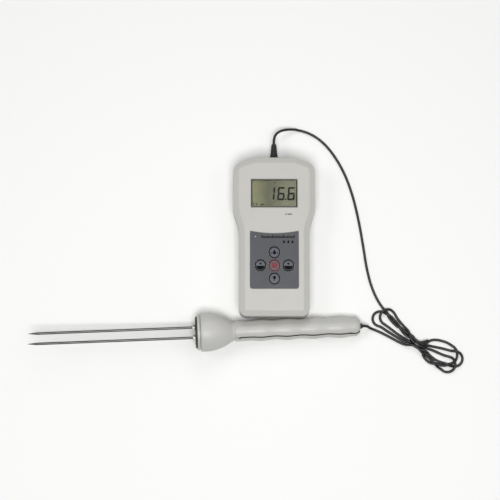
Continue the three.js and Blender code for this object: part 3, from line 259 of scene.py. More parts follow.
def choose(obj, kind, test):
    """Selects the vertices, edges or faces that pass a test. Returns how many."""
    mesh = bmesh.from_edit_mesh(obj.data)
    mesh.normal_update()
    items = {"VERT": mesh.verts, "EDGE": mesh.edges, "FACE": mesh.faces}[kind]
    bpy.ops.mesh.select_mode(type=kind)
    bpy.ops.mesh.select_all(action="DESELECT")
    count = 0
    for item in items:
        if test(item):
            item.select_set(True)
            count += 1
    mesh.select_flush_mode()
    bmesh.update_edit_mesh(obj.data)
    return count


def leave_edit():
    bpy.ops.object.mode_set(mode="OBJECT")


def slice_at(axis, place_mm):
    """Cuts new edges right across the mesh, where an axis reaches a place."""
    normal = Vector([float(i == "xyz".index(axis)) for i in range(3)])
    bpy.ops.mesh.select_all(action="SELECT")
    bpy.ops.mesh.bisect(plane_co=normal * place_mm * MM, plane_no=normal)


def middle(edge):
    return (edge.verts[0].co + edge.verts[1].co) / 2


def apply_modifier(obj, kind, **settings):
    """Adds a modifier and applies it at once."""
    make_active(obj)
    modifier = obj.modifiers.new(kind.lower(), kind)
    for name, value in settings.items():
        setattr(modifier, name, value)
    bpy.ops.object.modifier_apply(modifier=modifier.name)


def cut_with(obj, *tools):
    """Cuts tools out of a piece, and deletes them."""
    for tool in tools:
        apply_modifier(obj, "BOOLEAN", operation="DIFFERENCE", object=tool, solver="EXACT")
        bpy.data.objects.remove(tool)


def join_to(obj, *others):
    """Joins solids to a piece as one closed body."""
    for other in others:
        apply_modifier(obj, "BOOLEAN", operation="UNION", object=other, solver="EXACT")
        bpy.data.objects.remove(other)


def soften(obj, width_mm, segments=3, angle=30):
    """Rounds every edge sharper than an angle. The large faces then decide the shading, so they stay flat."""
    apply_modifier(
        obj,
        "BEVEL",
        width=width_mm * MM,
        segments=segments,
        limit_method="ANGLE",
        angle_limit=math.radians(angle),
        use_clamp_overlap=True,
    )
    shade(obj, 50)
    apply_modifier(obj, "WEIGHTED_NORMAL", weight=60, keep_sharp=True)


def shade(obj, angle=35):
    make_active(obj)
    bpy.ops.object.shade_smooth_by_angle(angle=math.radians(angle))


def finish_piece(obj, body, material, replaces=()):
    """Gives the piece its material, puts it on its body and hides the CAD nodes that it stands for."""
    obj.data.materials.clear()
    obj.data.materials.append(material)
    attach(obj, body)
    if replaces:
        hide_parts(*replaces)
    print(obj.name, len(obj.data.polygons))


def name_new(name):
    """Names the primitive that was just added, and moves its place into its mesh."""
    obj = bpy.context.object
    obj.name = name
    apply_place(obj)
    return obj


def box_piece(name, low, high):
    """A box between two corners given in millimetres."""
    low, high = Vector(low) * MM, Vector(high) * MM
    bpy.ops.mesh.primitive_cube_add(size=1, location=(low + high) / 2, scale=high - low)
    return name_new(name)


def outline_box(name, outline, low, high, gap=0.0):
    """A box between two heights over an outline that is the same on both sides, widened by a gap."""
    half = outline["half"] + gap
    return box_piece(name, (-half, outline["low"] - gap, low), (half, outline["high"] + gap, high))


def upright(name, place, radius, low, high, sides=48):
    """A standing cylinder, in millimetres."""
    bpy.ops.mesh.primitive_cylinder_add(
        vertices=sides,
        radius=radius * MM,
        depth=(high - low) * MM,
        location=(place[0] * MM, place[1] * MM, (low + high) / 2 * MM),
    )
    return name_new(name)


def turned(name, profile, sides=64):
    """A turned piece on the X axis: a disc that is extruded ring by ring through [along, radius] pairs."""
    along, radius = profile[0]
    bpy.ops.mesh.primitive_circle_add(
        vertices=sides,
        radius=radius * MM,
        fill_type="NGON",
        location=(along * MM, 0, 0),
        rotation=(0, math.radians(90), 0),
    )
    obj = name_new(name)
    bpy.ops.object.mode_set(mode="EDIT")
    bpy.ops.mesh.select_all(action="SELECT")
    for (before, old), (after, new) in zip(profile, profile[1:]):
        bpy.ops.mesh.extrude_region_move(TRANSFORM_OT_translate={"value": ((after - before) * MM, 0, 0)})
        share = new / old
        bpy.ops.transform.resize(value=(1, share, share), center_override=(after * MM, 0, 0))
    bpy.ops.mesh.select_all(action="SELECT")
    bpy.ops.mesh.normals_make_consistent(inside=False)
    leave_edit()
    return obj


# %% [markdown]
# ## The cord
#
# The cord is a thin coaxial lead in a black PVC jacket, 2 mm thick and limp. Its route is a list of given
# points: out of the gland, down to the floor, round to the right, then back and forth through the
# tie, three loops on one side and two on the other, and on to the handle. A real cord can't pass through
# itself, so the route is then settled: each point falls to the floor, neighbours keep their distance, tight
# bends open, and wherever two strands come closer than the cord is thick they push each other apart.

# %% Route of the cord
CORD_DIAMETER = 2.0
LEAD = [
    (0, 72.3, 14),
    (0.1, 75.6, 13.8),
    (1.4, 79.8, 12.2),
    (5, 83.2, 8.9),
    (10.8, 85.2, 5.2),
    (18, 85.5, 2.3),
    (26, 83.6, 1.15),
    (36, 77.6, 1.05),
    (45.4, 67.2, 1.05),
    (54, 52.4, 1.05),
    (60.4, 35, 1.05),
    (65.1, 15.2, 1.05),
    (68.4, -4, 1.05),
    (71.2, -22, 1.05),
    (75.2, -37.4, 1.05),
    (82, -51.4, 1.05),
    (90.5, -61, 1.05),
    (99.5, -70.2, 1.05),
]
RIGHT_LOOPS = [
    [(116, -77.4), (124, -76.6), (131.6, -78.6), (137, -82.5), (139.6, -87.4), (138.2, -92.3)]
    + [(133.4, -95.7), (126, -96.1), (119, -93.6), (114.4, -88.8)],
    [(117, -80.7), (125, -82.2), (133, -84), (140.4, -87.1), (144.2, -91.3), (141.4, -95.6)]
    + [(134.8, -96.5), (127, -94.6), (120.4, -90.9), (115.6, -86.6)],
    [(116.4, -82.4), (122.6, -85.1), (129.8, -88.6), (136.4, -92.3), (139.8, -96.1), (137, -99)]
    + [(130.6, -98.3), (123, -95.6), (117.6, -91.9), (113.4, -87.1)],
]
LEFT_LOOPS = [
    [(100.6, -78.4), (93.4, -74.2), (86.2, -69.8), (80.2, -65.2), (76, -60), (76.2, -55)]
    + [(80.4, -53.8), (86.4, -56.6), (93, -63.4), (100.2, -71.4)],
    [(100.6, -76.6), (93.6, -71.6), (87.2, -66.6), (82, -61.4), (80.6, -55.8), (84.6, -52.6)]
    + [(90, -56.6), (95.4, -63), (101.4, -71)],
]
TAIL = [
    (100.6, -80.8, 1.05),
    (93.6, -77.2, 1.05),
    (87.2, -73.8, 1.2),
    (82, -70.8, 2.4),
    (77.6, -68.4, 4.6),
]
TIE_PLACE = Vector((108.9, -79.8, 0))
HANK_TURN = math.radians(-32)
HANK_DIRECTION = Vector((math.cos(HANK_TURN), math.sin(HANK_TURN), 0))
HANK_ACROSS = Vector((-HANK_DIRECTION.y, HANK_DIRECTION.x, 0))
# Where each strand goes through the tie: sideways and up, in cord diameters.
TIE_SLOTS = [(1, 0), (0, 0), (1, 1), (-1, 0), (0, 1), (-1, 1)]


def through_tie(slot, rightwards):
    """Three points that take a strand through its place in the tie."""
    side, layer = TIE_SLOTS[slot]
    centre = TIE_PLACE + HANK_ACROSS * side * CORD_DIAMETER * 1.05
    centre.z = CORD_DIAMETER * (0.53 + 0.98 * layer) + 0.5  # the tie's strip runs underneath
    steps = (-2.4, 0, 2.4) if rightwards else (2.4, 0, -2.4)
    return [tuple(centre + HANK_DIRECTION * step) for step in steps]


# The probe lies rolled on the rim of its bell, with the end of its handle on the floor. Its own X axis runs
# from the mouth of the bell, x = 0, to the end of the handle.
BELL_RADIUS = 14.6
BELL_STRAIGHT = 4
HANDLE_END = 121
CONTACT_X = HANDLE_END - 6  # where the full section ends, and touches the floor
GROMMET_PROUD = 2.2
HANDLE_REACH = 7.786  # of the rolled handle, below its axis
PROBE_ROLL, PROBE_YAW = math.radians(-43), math.radians(2.4)
PROBE_PITCH = math.atan((BELL_RADIUS - HANDLE_REACH) / (CONTACT_X - BELL_STRAIGHT))
PROBE_TURN = Euler((PROBE_ROLL, PROBE_PITCH, PROBE_YAW), "XYZ").to_matrix()
PROBE_AXIS = PROBE_TURN @ Vector((1, 0, 0))
PLATE_BACK, PLATE_FRONT = 3, -3.5
plate_low, plate_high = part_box("needle_plate")
PROBE_ORIGIN = (plate_low + plate_high) / 2 / MM - PROBE_AXIS * (PLATE_BACK + PLATE_FRONT) / 2
GROMMET_TIP = PROBE_ORIGIN + PROBE_AXIS * (HANDLE_END + GROMMET_PROUD)
print("probe from", [round(c, 2) for c in PROBE_ORIGIN], "to", [round(c, 2) for c in GROMMET_TIP])


# %% [markdown]
# The route is turned into a chain of short links. The exit, the three links in the tie on each pass and the
# last links at the handle are held. All others are free. This is the usual way to fake a rope: move each
# point by gravity, then push every rule back into place a little, several hundred times over. Nothing in
# it is random, so it settles in the same shape each time.

# %% Settle the cord
LINK = 1.5
FOLD_RADIUS = 3.3 * CORD_DIAMETER
CORD_RADIUS = CORD_DIAMETER / 2
FALL = 0.06  # millimetres in each round
STRAND_LINKS = 7  # links that are at least so far apart along the cord count as two strands


def hank_route():
    """All chosen points in order, and the places of those that are held."""
    points, held = [(0, 70.5, 14)] + LEAD, [0, 1, 2]

    def pass_tie(slot, rightwards):
        held.extend(range(len(points), len(points) + 3))
        points.extend(through_tie(slot, rightwards))

    pass_tie(0, True)
    for i, loop in enumerate(RIGHT_LOOPS):
        points.extend((x, y, CORD_RADIUS + 1.6 * i) for x, y in loop)
        pass_tie(2 * i + 1, False)
        if i < len(LEFT_LOOPS):
            points.extend((x, y, CORD_RADIUS + 0.8 + 1.6 * i) for x, y in LEFT_LOOPS[i])
            pass_tie(2 * i + 2, True)
    points.extend(TAIL)
    points.append(tuple(GROMMET_TIP + PROBE_AXIS * 4))
    held.extend(range(len(points), len(points) + 2))
    points.extend(tuple(GROMMET_TIP + PROBE_AXIS * out) for out in (1.4, -0.4))
    return np.array(points, float), held


def chain(points, held):
    """A smooth curve through the points as equal links. Returns the links' ends and which are held."""
    ends = np.vstack([2 * points[0] - points[1], points, 2 * points[-1] - points[-2]])
    dense, marks = [], {}
    for i in range(1, len(ends) - 2):
        before, start, end, after = ends[i - 1 : i + 3]
        if i - 1 in held:
            marks[i - 1] = len(dense)
        for t in np.linspace(0, 1, 24, endpoint=False):
            bend = 2 * before - 5 * start + 4 * end - after
            twist = 3 * (start - end) + after - before
            dense.append(start + 0.5 * (t * (end - before) + t * t * bend + t**3 * twist))
    marks[len(points) - 1] = len(dense)
    dense = np.array(dense + [points[-1]])
    along = np.concatenate([[0], np.cumsum(np.linalg.norm(np.diff(dense, axis=0), axis=1))])
    count = round(along[-1] / LINK)
    even = np.linspace(0, along[-1], count + 1)
    links = np.stack([np.interp(even, along, dense[:, k]) for k in range(3)], axis=1)
    fixed = np.zeros(count + 1, bool)
    for index in marks.values():
        fixed[np.argmin(np.abs(even - along[index]))] = True
    return links, fixed, along[-1] / count


def pull(points, free, pairs, least, most, share):
    """Moves pairs of points along their line until their distance is between least and most."""
    first, second = pairs
    gap = points[second] - points[first]
    size = np.maximum(np.linalg.norm(gap, axis=1), 1e-6)
    error = size - np.clip(size, least, most)
    step = gap * (error / size * share)[:, None]
    weight = free[first].astype(float) + free[second]
    step /= np.maximum(weight, 1)[:, None]
    np.add.at(points, first, step * free[first][:, None])
    np.add.at(points, second, -step * free[second][:, None])


def settle(points, fixed, link, rounds=700, quiet=250):
    """Lets the links fall and push each other apart. Nothing falls in the last, quiet rounds."""
    free = ~fixed
    count = len(points)
    index = np.arange(count)
    rest = points.copy()
    chords = [(step, 2 * FOLD_RADIUS * math.sin(step * link / (2 * FOLD_RADIUS))) for step in (2, 3, 4, 6)]
    all_first, all_second = np.triu_indices(count, STRAND_LINKS)
    for turn in range(rounds):
        if turn < rounds - quiet:
            points[free, 2] -= FALL
        if turn % 10 == 0:
            near = np.linalg.norm(points[all_first] - points[all_second], axis=1) < CORD_DIAMETER + 1.2
            close = (all_first[near], all_second[near])
        pull(points, free, (index[:-1], index[1:]), link, link, 1.0)
        for step, chord in chords:
            pull(points, free, (index[:-step], index[step:]), chord, 1e9, 0.5)
        pull(points, free, close, CORD_DIAMETER * 1.03, 1e9, 0.7)
        points[free, 2] = np.maximum(points[free, 2], CORD_RADIUS * 1.03)
        points[fixed] = rest[fixed]
    return points


route, held = hank_route()
links, fixed, link = chain(route, held)
# The first bend keeps its chosen shape, because the boot holds the cord up there.
fixed[: int(np.argmin(np.linalg.norm(links - np.array(LEAD[5]), axis=1)))] = True
links = settle(links, fixed, link)
link_lengths = np.linalg.norm(np.diff(links, axis=0), axis=1)
highest = round(float(links[len(links) // 4 :, 2].max()), 1)
print("cord", len(links), "points,", round(float(link_lengths.sum()), 1), "mm, hank up to", highest)

# %% [markdown]
# One curve carries the settled points. Its round bevel is the jacket. PVC jackets come out of the die with a
# satin skin, which picks up dust and small rubbed streaks, so the black is never quite even.

# %% The cord and its material
jacket_pvc, tree, shader = new_material("satin_black_pvc", IOR=1.52, Specular_IOR_Level=0.5)
place = object_place(tree)
dust = add_node(tree, "ShaderNodeTexNoise", Vector=place, Scale=1 / 6, Detail=5.0, Roughness=0.7)
tone = add_node(tree, "ShaderNodeValToRGB", stops=((0.35, "#101011"), (0.8, "#2A2A2B")), Fac=dust)
sheen = add_node(tree, "ShaderNodeMapRange", Value=dust, To_Min=0.34, To_Max=0.6)
skin = add_node(tree, "ShaderNodeTexNoise", Vector=place, Scale=1 / 0.4, Detail=2.0)
relief = add_node(tree, "ShaderNodeBump", Height=skin, Distance=0.02 * MM, Strength=1.0)
set_sockets(tree, shader, Base_Color=tone, Roughness=sheen, Normal=relief)

cord_curve = bpy.data.curves.new("cord", "CURVE")
cord_curve.dimensions = "3D"
spline = cord_curve.splines.new("POLY")
spline.points.add(len(links) - 1)
spline.points.foreach_set("co", np.hstack([links * MM, np.ones((len(links), 1))]).ravel())
cord_curve.bevel_depth = CORD_RADIUS * MM
cord_curve.bevel_resolution = 3
cord_curve.use_fill_caps = True
spline.use_smooth = True
cord = bpy.data.objects.new("cord", cord_curve)
bpy.context.scene.collection.objects.link(cord)
cord_curve.materials.append(jacket_pvc)
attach(cord, "root")
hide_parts("cord_lead", "cord_tail", "hank_left_lobe", "hank_right_lobe")

# %% [markdown]
# The tie is a twist tie: a thin wire in a flat black plastic strip, wrapped once round the six strands and
# twisted at the top. The strip is a short tube squeezed to the shape of the bundle and given a wall. Its two
# ends are a flat bar, cut into short lengths and turned a little more at each one, which is what a twist is.

# %% The twist tie
TIE_WIDTH = 3.2
TIE_WALL = 0.45
TAIL_LENGTH = 9.0
TAIL_TURNS = 2.5
TAIL_PARTS = 20

tie_black, tree, shader = new_material("tie_strip_pvc", Roughness=0.38, IOR=1.5)
scuffs = add_node(tree, "ShaderNodeTexNoise", Vector=object_place(tree), Scale=1 / 2.5, Detail=4.0)
tone = add_node(tree, "ShaderNodeValToRGB", stops=((0, "#0C0C0D"), (1, "#242425")), Fac=scuffs)
relief = add_node(tree, "ShaderNodeBump", Height=scuffs, Distance=0.03 * MM, Strength=1.0)
set_sockets(tree, shader, Base_Color=tone, Normal=relief)

from_tie = np.linalg.norm(links[:, :2] - np.array(TIE_PLACE.xy), axis=1)
bundle = links[fixed & (from_tie < 1.2)]
bundle_middle = Vector(bundle.mean(0))
spread = [(Vector(p) - bundle_middle).dot(HANK_ACROSS) for p in bundle]
half_across = max(map(abs, spread)) + CORD_RADIUS + 0.1
half_up = (bundle[:, 2].max() - bundle[:, 2].min()) / 2 + CORD_RADIUS + 0.1

bpy.ops.mesh.primitive_cylinder_add(
    vertices=40, radius=1, depth=TIE_WIDTH * MM, end_fill_type="NOTHING", rotation=(0, math.radians(90), 0)
)
tie = name_new("twist_tie")
for vertex in tie.data.vertices:  # squeezed from a circle to a flat oval round the bundle
    y, z = vertex.co.y, vertex.co.z
    vertex.co.y = math.copysign(abs(y) ** 0.6, y) * half_across * MM
    vertex.co.z = math.copysign(abs(z) ** 0.6, z) * half_up * MM
apply_modifier(tie, "SOLIDIFY", thickness=TIE_WALL * MM, offset=1, use_even_offset=True)
soften(tie, 0.12, segments=2)

tail = box_piece("tie_tail", (0, -0.95, -0.4), (TAIL_LENGTH, 0.95, 0.4))
edit(tail)
for part in range(1, TAIL_PARTS):
    slice_at("x", part * TAIL_LENGTH / TAIL_PARTS)
leave_edit()
for vertex in tail.data.vertices:
    share = vertex.co.x / (TAIL_LENGTH * MM)
    turn = share * TAIL_TURNS * 2 * math.pi
    y, z = vertex.co.y, vertex.co.z
    vertex.co.y = y * math.cos(turn) - z * math.sin(turn)
    vertex.co.z = y * math.sin(turn) + z * math.cos(turn) - 2.2 * share**2 * MM
soften(tail, 0.1, segments=2)
tail.rotation_euler.z = math.radians(48)
tail.location = Vector((0.2, half_across * 0.35, half_up + TIE_WALL + 0.2)) * MM
apply_place(tail)
make_active(tie)
tail.select_set(True)
bpy.ops.object.join()
tie.rotation_euler.z = HANK_TURN
tie.location = bundle_middle * MM
apply_place(tie)
finish_piece(tie, "root", tie_black, ["cord_tie"])

# %% [markdown]
# ## The meter's case
#
# The case is two ABS mouldings that close on a seam at half height. Seen from above it is a wide head on a
# narrower grip, with sloping shoulders and a sloping border round the face. Both shells come from the same
# block: a cube cut across where its outline turns, whose end points are then moved and whose upright edges
# are bevelled to the radius of each corner.

# %% The case's outline
CASE = dict(foot=-60, waist=5, head=19.2, corner=54.4, top=60, grip=26.5, wide=31, flat=15.5)
CASE_WALL = 2.2
FACE_Z = 30
SEAM = (13.85, 14.15)
# Corner name: how far along the sides its arc starts from the corner.
CORNER_ARCS = {"foot": 5.5, "waist": 2.5, "head": 2.5, "corner": 5.3, "top": 1.1}


def case_block(name, low, high, wall=0.0):
    """The case's outline between two heights, every side moved in by a wall."""
    foot, top = CASE["foot"] + wall, CASE["top"] - wall
    block = box_piece(name, (-CASE["wide"] + wall, foot, low), (CASE["wide"] - wall, top, high))
    slope = (CASE["top"] - CASE["corner"]) / (CASE["wide"] - CASE["flat"])
    corner = CASE["corner"] - wall * (math.sqrt(1 + slope**2) - slope)
    flat = CASE["flat"] - wall * (math.sqrt(1 + slope**2) - 1) / slope
    edit(block)
    for axis, place in (("y", CASE["waist"]), ("y", CASE["head"]), ("x", -flat), ("x", flat)):
        slice_at(axis, place)
    choose(block, "VERT", lambda v: v.co.y < (CASE["waist"] + 1) * MM and abs(v.co.x) > (flat + 1) * MM)
    share = (CASE["grip"] - wall) / (CASE["wide"] - wall)
    bpy.ops.transform.resize(value=(share, 1, 1), center_override=(0, 0, 0))
    choose(block, "VERT", lambda v: v.co.y > (top - 1) * MM and abs(v.co.x) > (flat + 1) * MM)
    bpy.ops.transform.translate(value=(0, (corner - top) * MM, 0))
    for corner_name, arc in CORNER_ARCS.items():
        if corner_name == "foot":
            arc -= wall
        at_y = {"foot": foot, "corner": corner, "top": top}.get(corner_name, CASE[corner_name])

        def is_corner(edge):
            first, second = edge.verts
            upright = abs(first.co.z - second.co.z) > 0.5 * MM
            place = middle(edge)
            outer = abs(place.x) > (flat + 1) * MM or corner_name == "top"
            return upright and outer and abs(place.y - at_y * MM) < 0.05 * MM

        choose(block, "EDGE", is_corner)
        bpy.ops.mesh.bevel(offset=arc * MM, offset_type="ABSOLUTE", segments=8, affect="EDGES")
    bpy.ops.mesh.select_all(action="SELECT")
    bpy.ops.mesh.dissolve_limited(angle_limit=math.radians(0.5))
    leave_edit()
    return block


trial = case_block("trial", 0, 10)
print("outline points:", len(trial.data.vertices) // 2, "size", [round(c / MM, 2) for c in trial.dimensions])
bpy.data.objects.remove(trial)

# %% [markdown]
# The front shell's face is inset by the width of its sloping border, and its outer rim is lowered. Both
# creases then get a small round, as a moulding has. The inside, the window, the keypad's recess and the
# wells under the keys are cut with blocks of their own, each shaped before it cuts.

# %% The front shell's outside and inside
BORDER_WIDTH = 4.6
BORDER_DROP = 2.4
DRAFT = 0.3


def at_height(z):
    """A test for vertices, edges or faces that lie level at a height."""
    return lambda item: all(abs(v.co.z - z * MM) < 0.05 * MM for v in getattr(item, "verts", [item]))


def slope_border(block, width, drop, top, rounds=(0.4, 0.3)):
    """Turns the rim of the top face into a sloping border, and rounds both of its creases."""

    def is_rim(vertex):
        beside_wall = any(abs(face.normal.z) < 0.5 for face in vertex.link_faces)
        return beside_wall and vertex.co.z > (top - 0.1) * MM

    edit(block, "FACE")
    choose(block, "FACE", lambda face: face.normal.z > 0.99)
    bpy.ops.mesh.inset(thickness=width * MM, depth=0, use_boundary=True, use_even_offset=True)
    choose(block, "VERT", is_rim)
    bpy.ops.transform.translate(value=(0, 0, -drop * MM))
    drawn_in = [1 - 2 * DRAFT * MM / side for side in block.dimensions[:2]]
    bpy.ops.transform.resize(value=(*drawn_in, 1), center_override=(0, 0, 0))
    for height, width_of_round in zip((top, top - drop), rounds):
        choose(block, "EDGE", at_height(height))
        bpy.ops.mesh.bevel(offset=width_of_round * MM, segments=4, affect="EDGES", clamp_overlap=True)
    leave_edit()


def round_rim(block, height, width, segments=6):
    """Rounds the block's edges at one height."""
    edit(block, "EDGE")
    choose(block, "EDGE", at_height(height))
    bpy.ops.mesh.bevel(offset=width * MM, segments=segments, affect="EDGES", clamp_overlap=True)
    leave_edit()
    return block


front = case_block("front_shell_moulding", SEAM[1], FACE_Z)
slope_border(front, BORDER_WIDTH, BORDER_DROP, FACE_Z)
hollow = case_block("hollow", SEAM[1] - 1, FACE_Z - CASE_WALL, CASE_WALL)
round_rim(hollow, FACE_Z - CASE_WALL, 3.0)
cut_with(front, hollow)
print("front shell before its openings:", len(front.data.polygons), "faces")

# %% Openings in the front shell
WINDOW = dict(half=17.3, low=21.7, high=42.9)
KEYPAD = dict(half=18.15, low=-39.4, high=3.8, dip=1.85)
KEYPAD_PARTS = 16
KEYS = {
    "function": (0, -12.3),
    "power": (0, -22.1),
    "light": (0, -31.9),
    "left": (-10.4, -22.1),
    "right": (10.4, -22.1),
}
KEY_RADIUS = 4.45
STATUS_PLACE = (-14.05, -0.3)
SLIDE_GAP = 0.3
SEAT_MARGIN = 1.8  # the lens is wider than its window
GLAND_Z = 14
GLAND_BORE_RADIUS = 3.3


def is_upright(edge):
    first, second = (vertex.co / MM for vertex in edge.verts)
    return abs(first.z - second.z) > 0.1 and abs(first.x - second.x) < 0.01


def keypad_block(name, low, high, gap):
    """The keypad's outline: a rectangle whose upper edge sags in the middle."""
    half, top = KEYPAD["half"] + gap, KEYPAD["high"] + gap
    block = outline_box(name, KEYPAD, low, high, gap)
    edit(block)
    for part in range(1, KEYPAD_PARTS):
        slice_at("x", (2 * part / KEYPAD_PARTS - 1) * half)
    for radius, side in ((1.8, -1), (0.8, 1)):  # the lower two corners, then the upper two

        def is_corner(edge):
            place = middle(edge) / MM
            return is_upright(edge) and abs(place.x) > half - 0.1 and (place.y + 10) * side > 0

        choose(block, "EDGE", is_corner)
        bpy.ops.mesh.bevel(offset=radius * MM, segments=5, affect="EDGES")
    leave_edit()
    for vertex in block.data.vertices:
        if vertex.co.y > (top - 1) * MM:
            vertex.co.y -= KEYPAD["dip"] * MM * (1 - min(1, abs(vertex.co.x) / (half * MM)) ** 2)
    return block


window_middle = (WINDOW["low"] + WINDOW["high"]) / 2
window_half_up = (WINDOW["high"] - WINDOW["low"]) / 2
window = outline_box("window", WINDOW, 24, 29.4)
edit(window, "FACE")
choose(window, "EDGE", is_upright)
bpy.ops.mesh.bevel(offset=0.6 * MM, segments=4, affect="EDGES")
choose(window, "FACE", lambda face: face.normal.z > 0.9)
bpy.ops.mesh.extrude_region_move(TRANSFORM_OT_translate={"value": (0, 0, 1.2 * MM)})
flare = (1 + 1.2 / WINDOW["half"], 1 + 1.2 / window_half_up, 1)
bpy.ops.transform.resize(value=flare, center_override=(0, window_middle * MM, 0))
leave_edit()
lens_seat = outline_box("lens_seat", WINDOW, 24, 28.9, SEAT_MARGIN)
recess = keypad_block("recess", 29.2, 31, SLIDE_GAP)
wells = [upright("well", place, KEY_RADIUS + SLIDE_GAP, 28.6, 31) for place in KEYS.values()]
stem_holes = [upright("stem_hole", place, 2.0, 25, 31, 24) for place in KEYS.values()]
light_hole = upright("light_hole", STATUS_PLACE, 1.05, 25, 31, 24)


def gland_bore(name):
    bore = upright(name, (0, 0), GLAND_BORE_RADIUS, 50, 65, 40)
    bore.rotation_euler.x = math.radians(-90)
    bore.location.z = GLAND_Z * MM
    apply_place(bore)
    return bore


cut_with(front, window, lens_seat, recess, *wells, *stem_holes, light_hole, gland_bore("front_bore"))
soften(front, 0.14, segments=2, angle=32)
finish_piece(front, "root", case_abs, ["front_shell"])

# %% [markdown]
# The rear shell is the same block with its lower rim rounded. Its inside keeps a closed box for the four
# cells. That box isn't added: a block is cut out of the cutter first, so that the material stays there. The
# same trick leaves the four screw posts.

# %% The rear shell
BOSSES = ((-21.4, 50), (21.4, 50), (-18, 11.1), (18, 11.1))
COVER = dict(half=22, low=-62, high=-3.8)  # it reaches past the foot, and is trimmed later
COVER_BOTTOM, COVER_TOP = 0.3, 2.0
POCKET = dict(half=21.5, low=-55, high=-4.8)
POCKET_ROOF = 12.9
BACK_ROUND = 2.6
rear = round_rim(case_block("rear_shell_moulding", 0, SEAM[0]), 0, BACK_ROUND)
inside = round_rim(case_block("inside", CASE_WALL, SEAM[0] + 1, CASE_WALL), CASE_WALL, 1.4)
tray = box_piece("tray", (-23, -56.5, 0), (23, -2.3, 20))
posts = [upright("post", place, 3.6, 0, 20) for place in BOSSES]
cut_with(inside, tray, *posts)
pocket = outline_box("pocket", POCKET, -1, POCKET_ROOF)
cover_seat = outline_box("cover_seat", COVER, -1, COVER_TOP + SLIDE_GAP, SLIDE_GAP)
head_wells = [upright("head_well", place, 2.6, -1, 6) for place in BOSSES]
shank_holes = [upright("shank_hole", place, 1.55, -1, 20, 24) for place in BOSSES]
cut_with(rear, inside, pocket, cover_seat, *head_wells, *shank_holes, gland_bore("rear_bore"))
soften(rear, 0.14, segments=2, angle=32)
finish_piece(rear, "root", case_abs, ["rear_shell"])

# %% [markdown]
# The battery cover is a flat plate that follows the rounded foot of the case. A copy of the case's block,
# one tenth of a millimetre smaller, trims it to that curve. Five raised bars in an arrow give the thumb a
# hold.

# %% The battery cover
cover = outline_box("battery_cover_moulding", COVER, COVER_BOTTOM, COVER_TOP)
trim = round_rim(case_block("trim", 0, 12, 0.1), 0, BACK_ROUND)
apply_modifier(cover, "BOOLEAN", operation="INTERSECT", object=trim, solver="EXACT")
bpy.data.objects.remove(trim)
tongues = [box_piece("tongue", (-23, y - 2, 1.2), (23, y + 2, 1.9)) for y in (-49, -29.9, -10.8)]
bars = [
    box_piece("bar", (-7 + i, COVER["high"] - 9 - 2 * i, 0.05), (7 - i, COVER["high"] - 8.2 - 2 * i, 0.6))
    for i in range(5)
]
join_to(cover, *tongues, *bars)
soften(cover, 0.15, segments=2, angle=32)
finish_piece(cover, "battery_cover", case_abs, ["battery_cover"])

# %% [markdown]
# ## The display
#
# A clear acrylic lens sits in its seat behind the window, and a liquid crystal panel lies just under it.
# Such a panel is a sandwich of two glass plates with a reflector behind, so its grey-green is matt and a
# little uneven, while the lens in front of it is glossy. Its tone also changes from the left edge to the
# right, which is a painted reflection. The figures are dark and seem to float, because they lie under the
# front glass.

# %% Panel and lens
panel_low, panel_high = (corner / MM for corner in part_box("display_panel"))
panel = box_piece("display_glass_panel", panel_low, panel_high)
soften(panel, 0.1, segments=2)

lcd_glass, tree, shader = new_material("reflective_lcd_glass", IOR=1.5, Specular_IOR_Level=0.3)
place = object_place(tree)
across = add_node(tree, "ShaderNodeSeparateXYZ", Vector=place)
# Painted reflection: the panel's tone is made to change from its left edge to its right.
drift = add_node(tree, "ShaderNodeMapRange", Value=across.outputs["X"], From_Min=-17.0, From_Max=17.0)
haze = add_node(tree, "ShaderNodeTexNoise", Vector=place, Scale=1 / 14, Detail=2.0)
mixed = add_node(tree, "ShaderNodeMath", {"operation": "MULTIPLY_ADD"}, i0=haze, i1=0.5, i2=drift)
LCD_TONE_AND_PAINTED_REFLECTION = ((0.2, "#636247"), (0.6, "#3D3C2A"), (1.0, "#545443"))
tone = add_node(tree, "ShaderNodeValToRGB", stops=LCD_TONE_AND_PAINTED_REFLECTION, Fac=mixed)
sheen = add_node(tree, "ShaderNodeMapRange", Value=haze, To_Min=0.38, To_Max=0.5)
set_sockets(tree, shader, Base_Color=tone, Roughness=sheen)
finish_piece(panel, "root", lcd_glass, ["display_panel"])

lens_low, lens_high = (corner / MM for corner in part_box("display_lens"))
lens = box_piece("display_window_lens", lens_low, lens_high)
soften(lens, 0.2, segments=2)
clear_acrylic, tree, shader = new_material(
    "polished_clear_acrylic",
    Base_Color=hex_colour("#F6F8F4"),
    IOR=1.49,
    Transmission_Weight=1.0,
)
place = object_place(tree, (1, 3, 1))
wiped = add_node(tree, "ShaderNodeTexNoise", Vector=place, Scale=1 / 5, Detail=5.0)
gloss = add_node(tree, "ShaderNodeMapRange", Value=wiped, To_Min=0.01, To_Max=0.07)
set_sockets(tree, shader, Roughness=gloss)
finish_piece(lens, "root", clear_acrylic, ["display_lens"])
lens.visible_shadow = False  # so that light reaches the panel as it does through real acrylic

# %% [markdown]
# The reading is three figures of seven bars each. One bar is a thin slab whose ends are drawn to a point.
# It is modelled once for each direction and copied to every lit place. The figures lean a few degrees to
# the right, as on most such displays.

# %% The reading on the display
BAR_WIDTH = 1.35
FIGURE_HEIGHT = 10.0
INK_LOW, INK_HIGH = panel_high.z + 0.01, panel_high.z + 0.06
LEAN = 0.09
LIT_BARS = {"1": "bc", "6": "acdefg"}


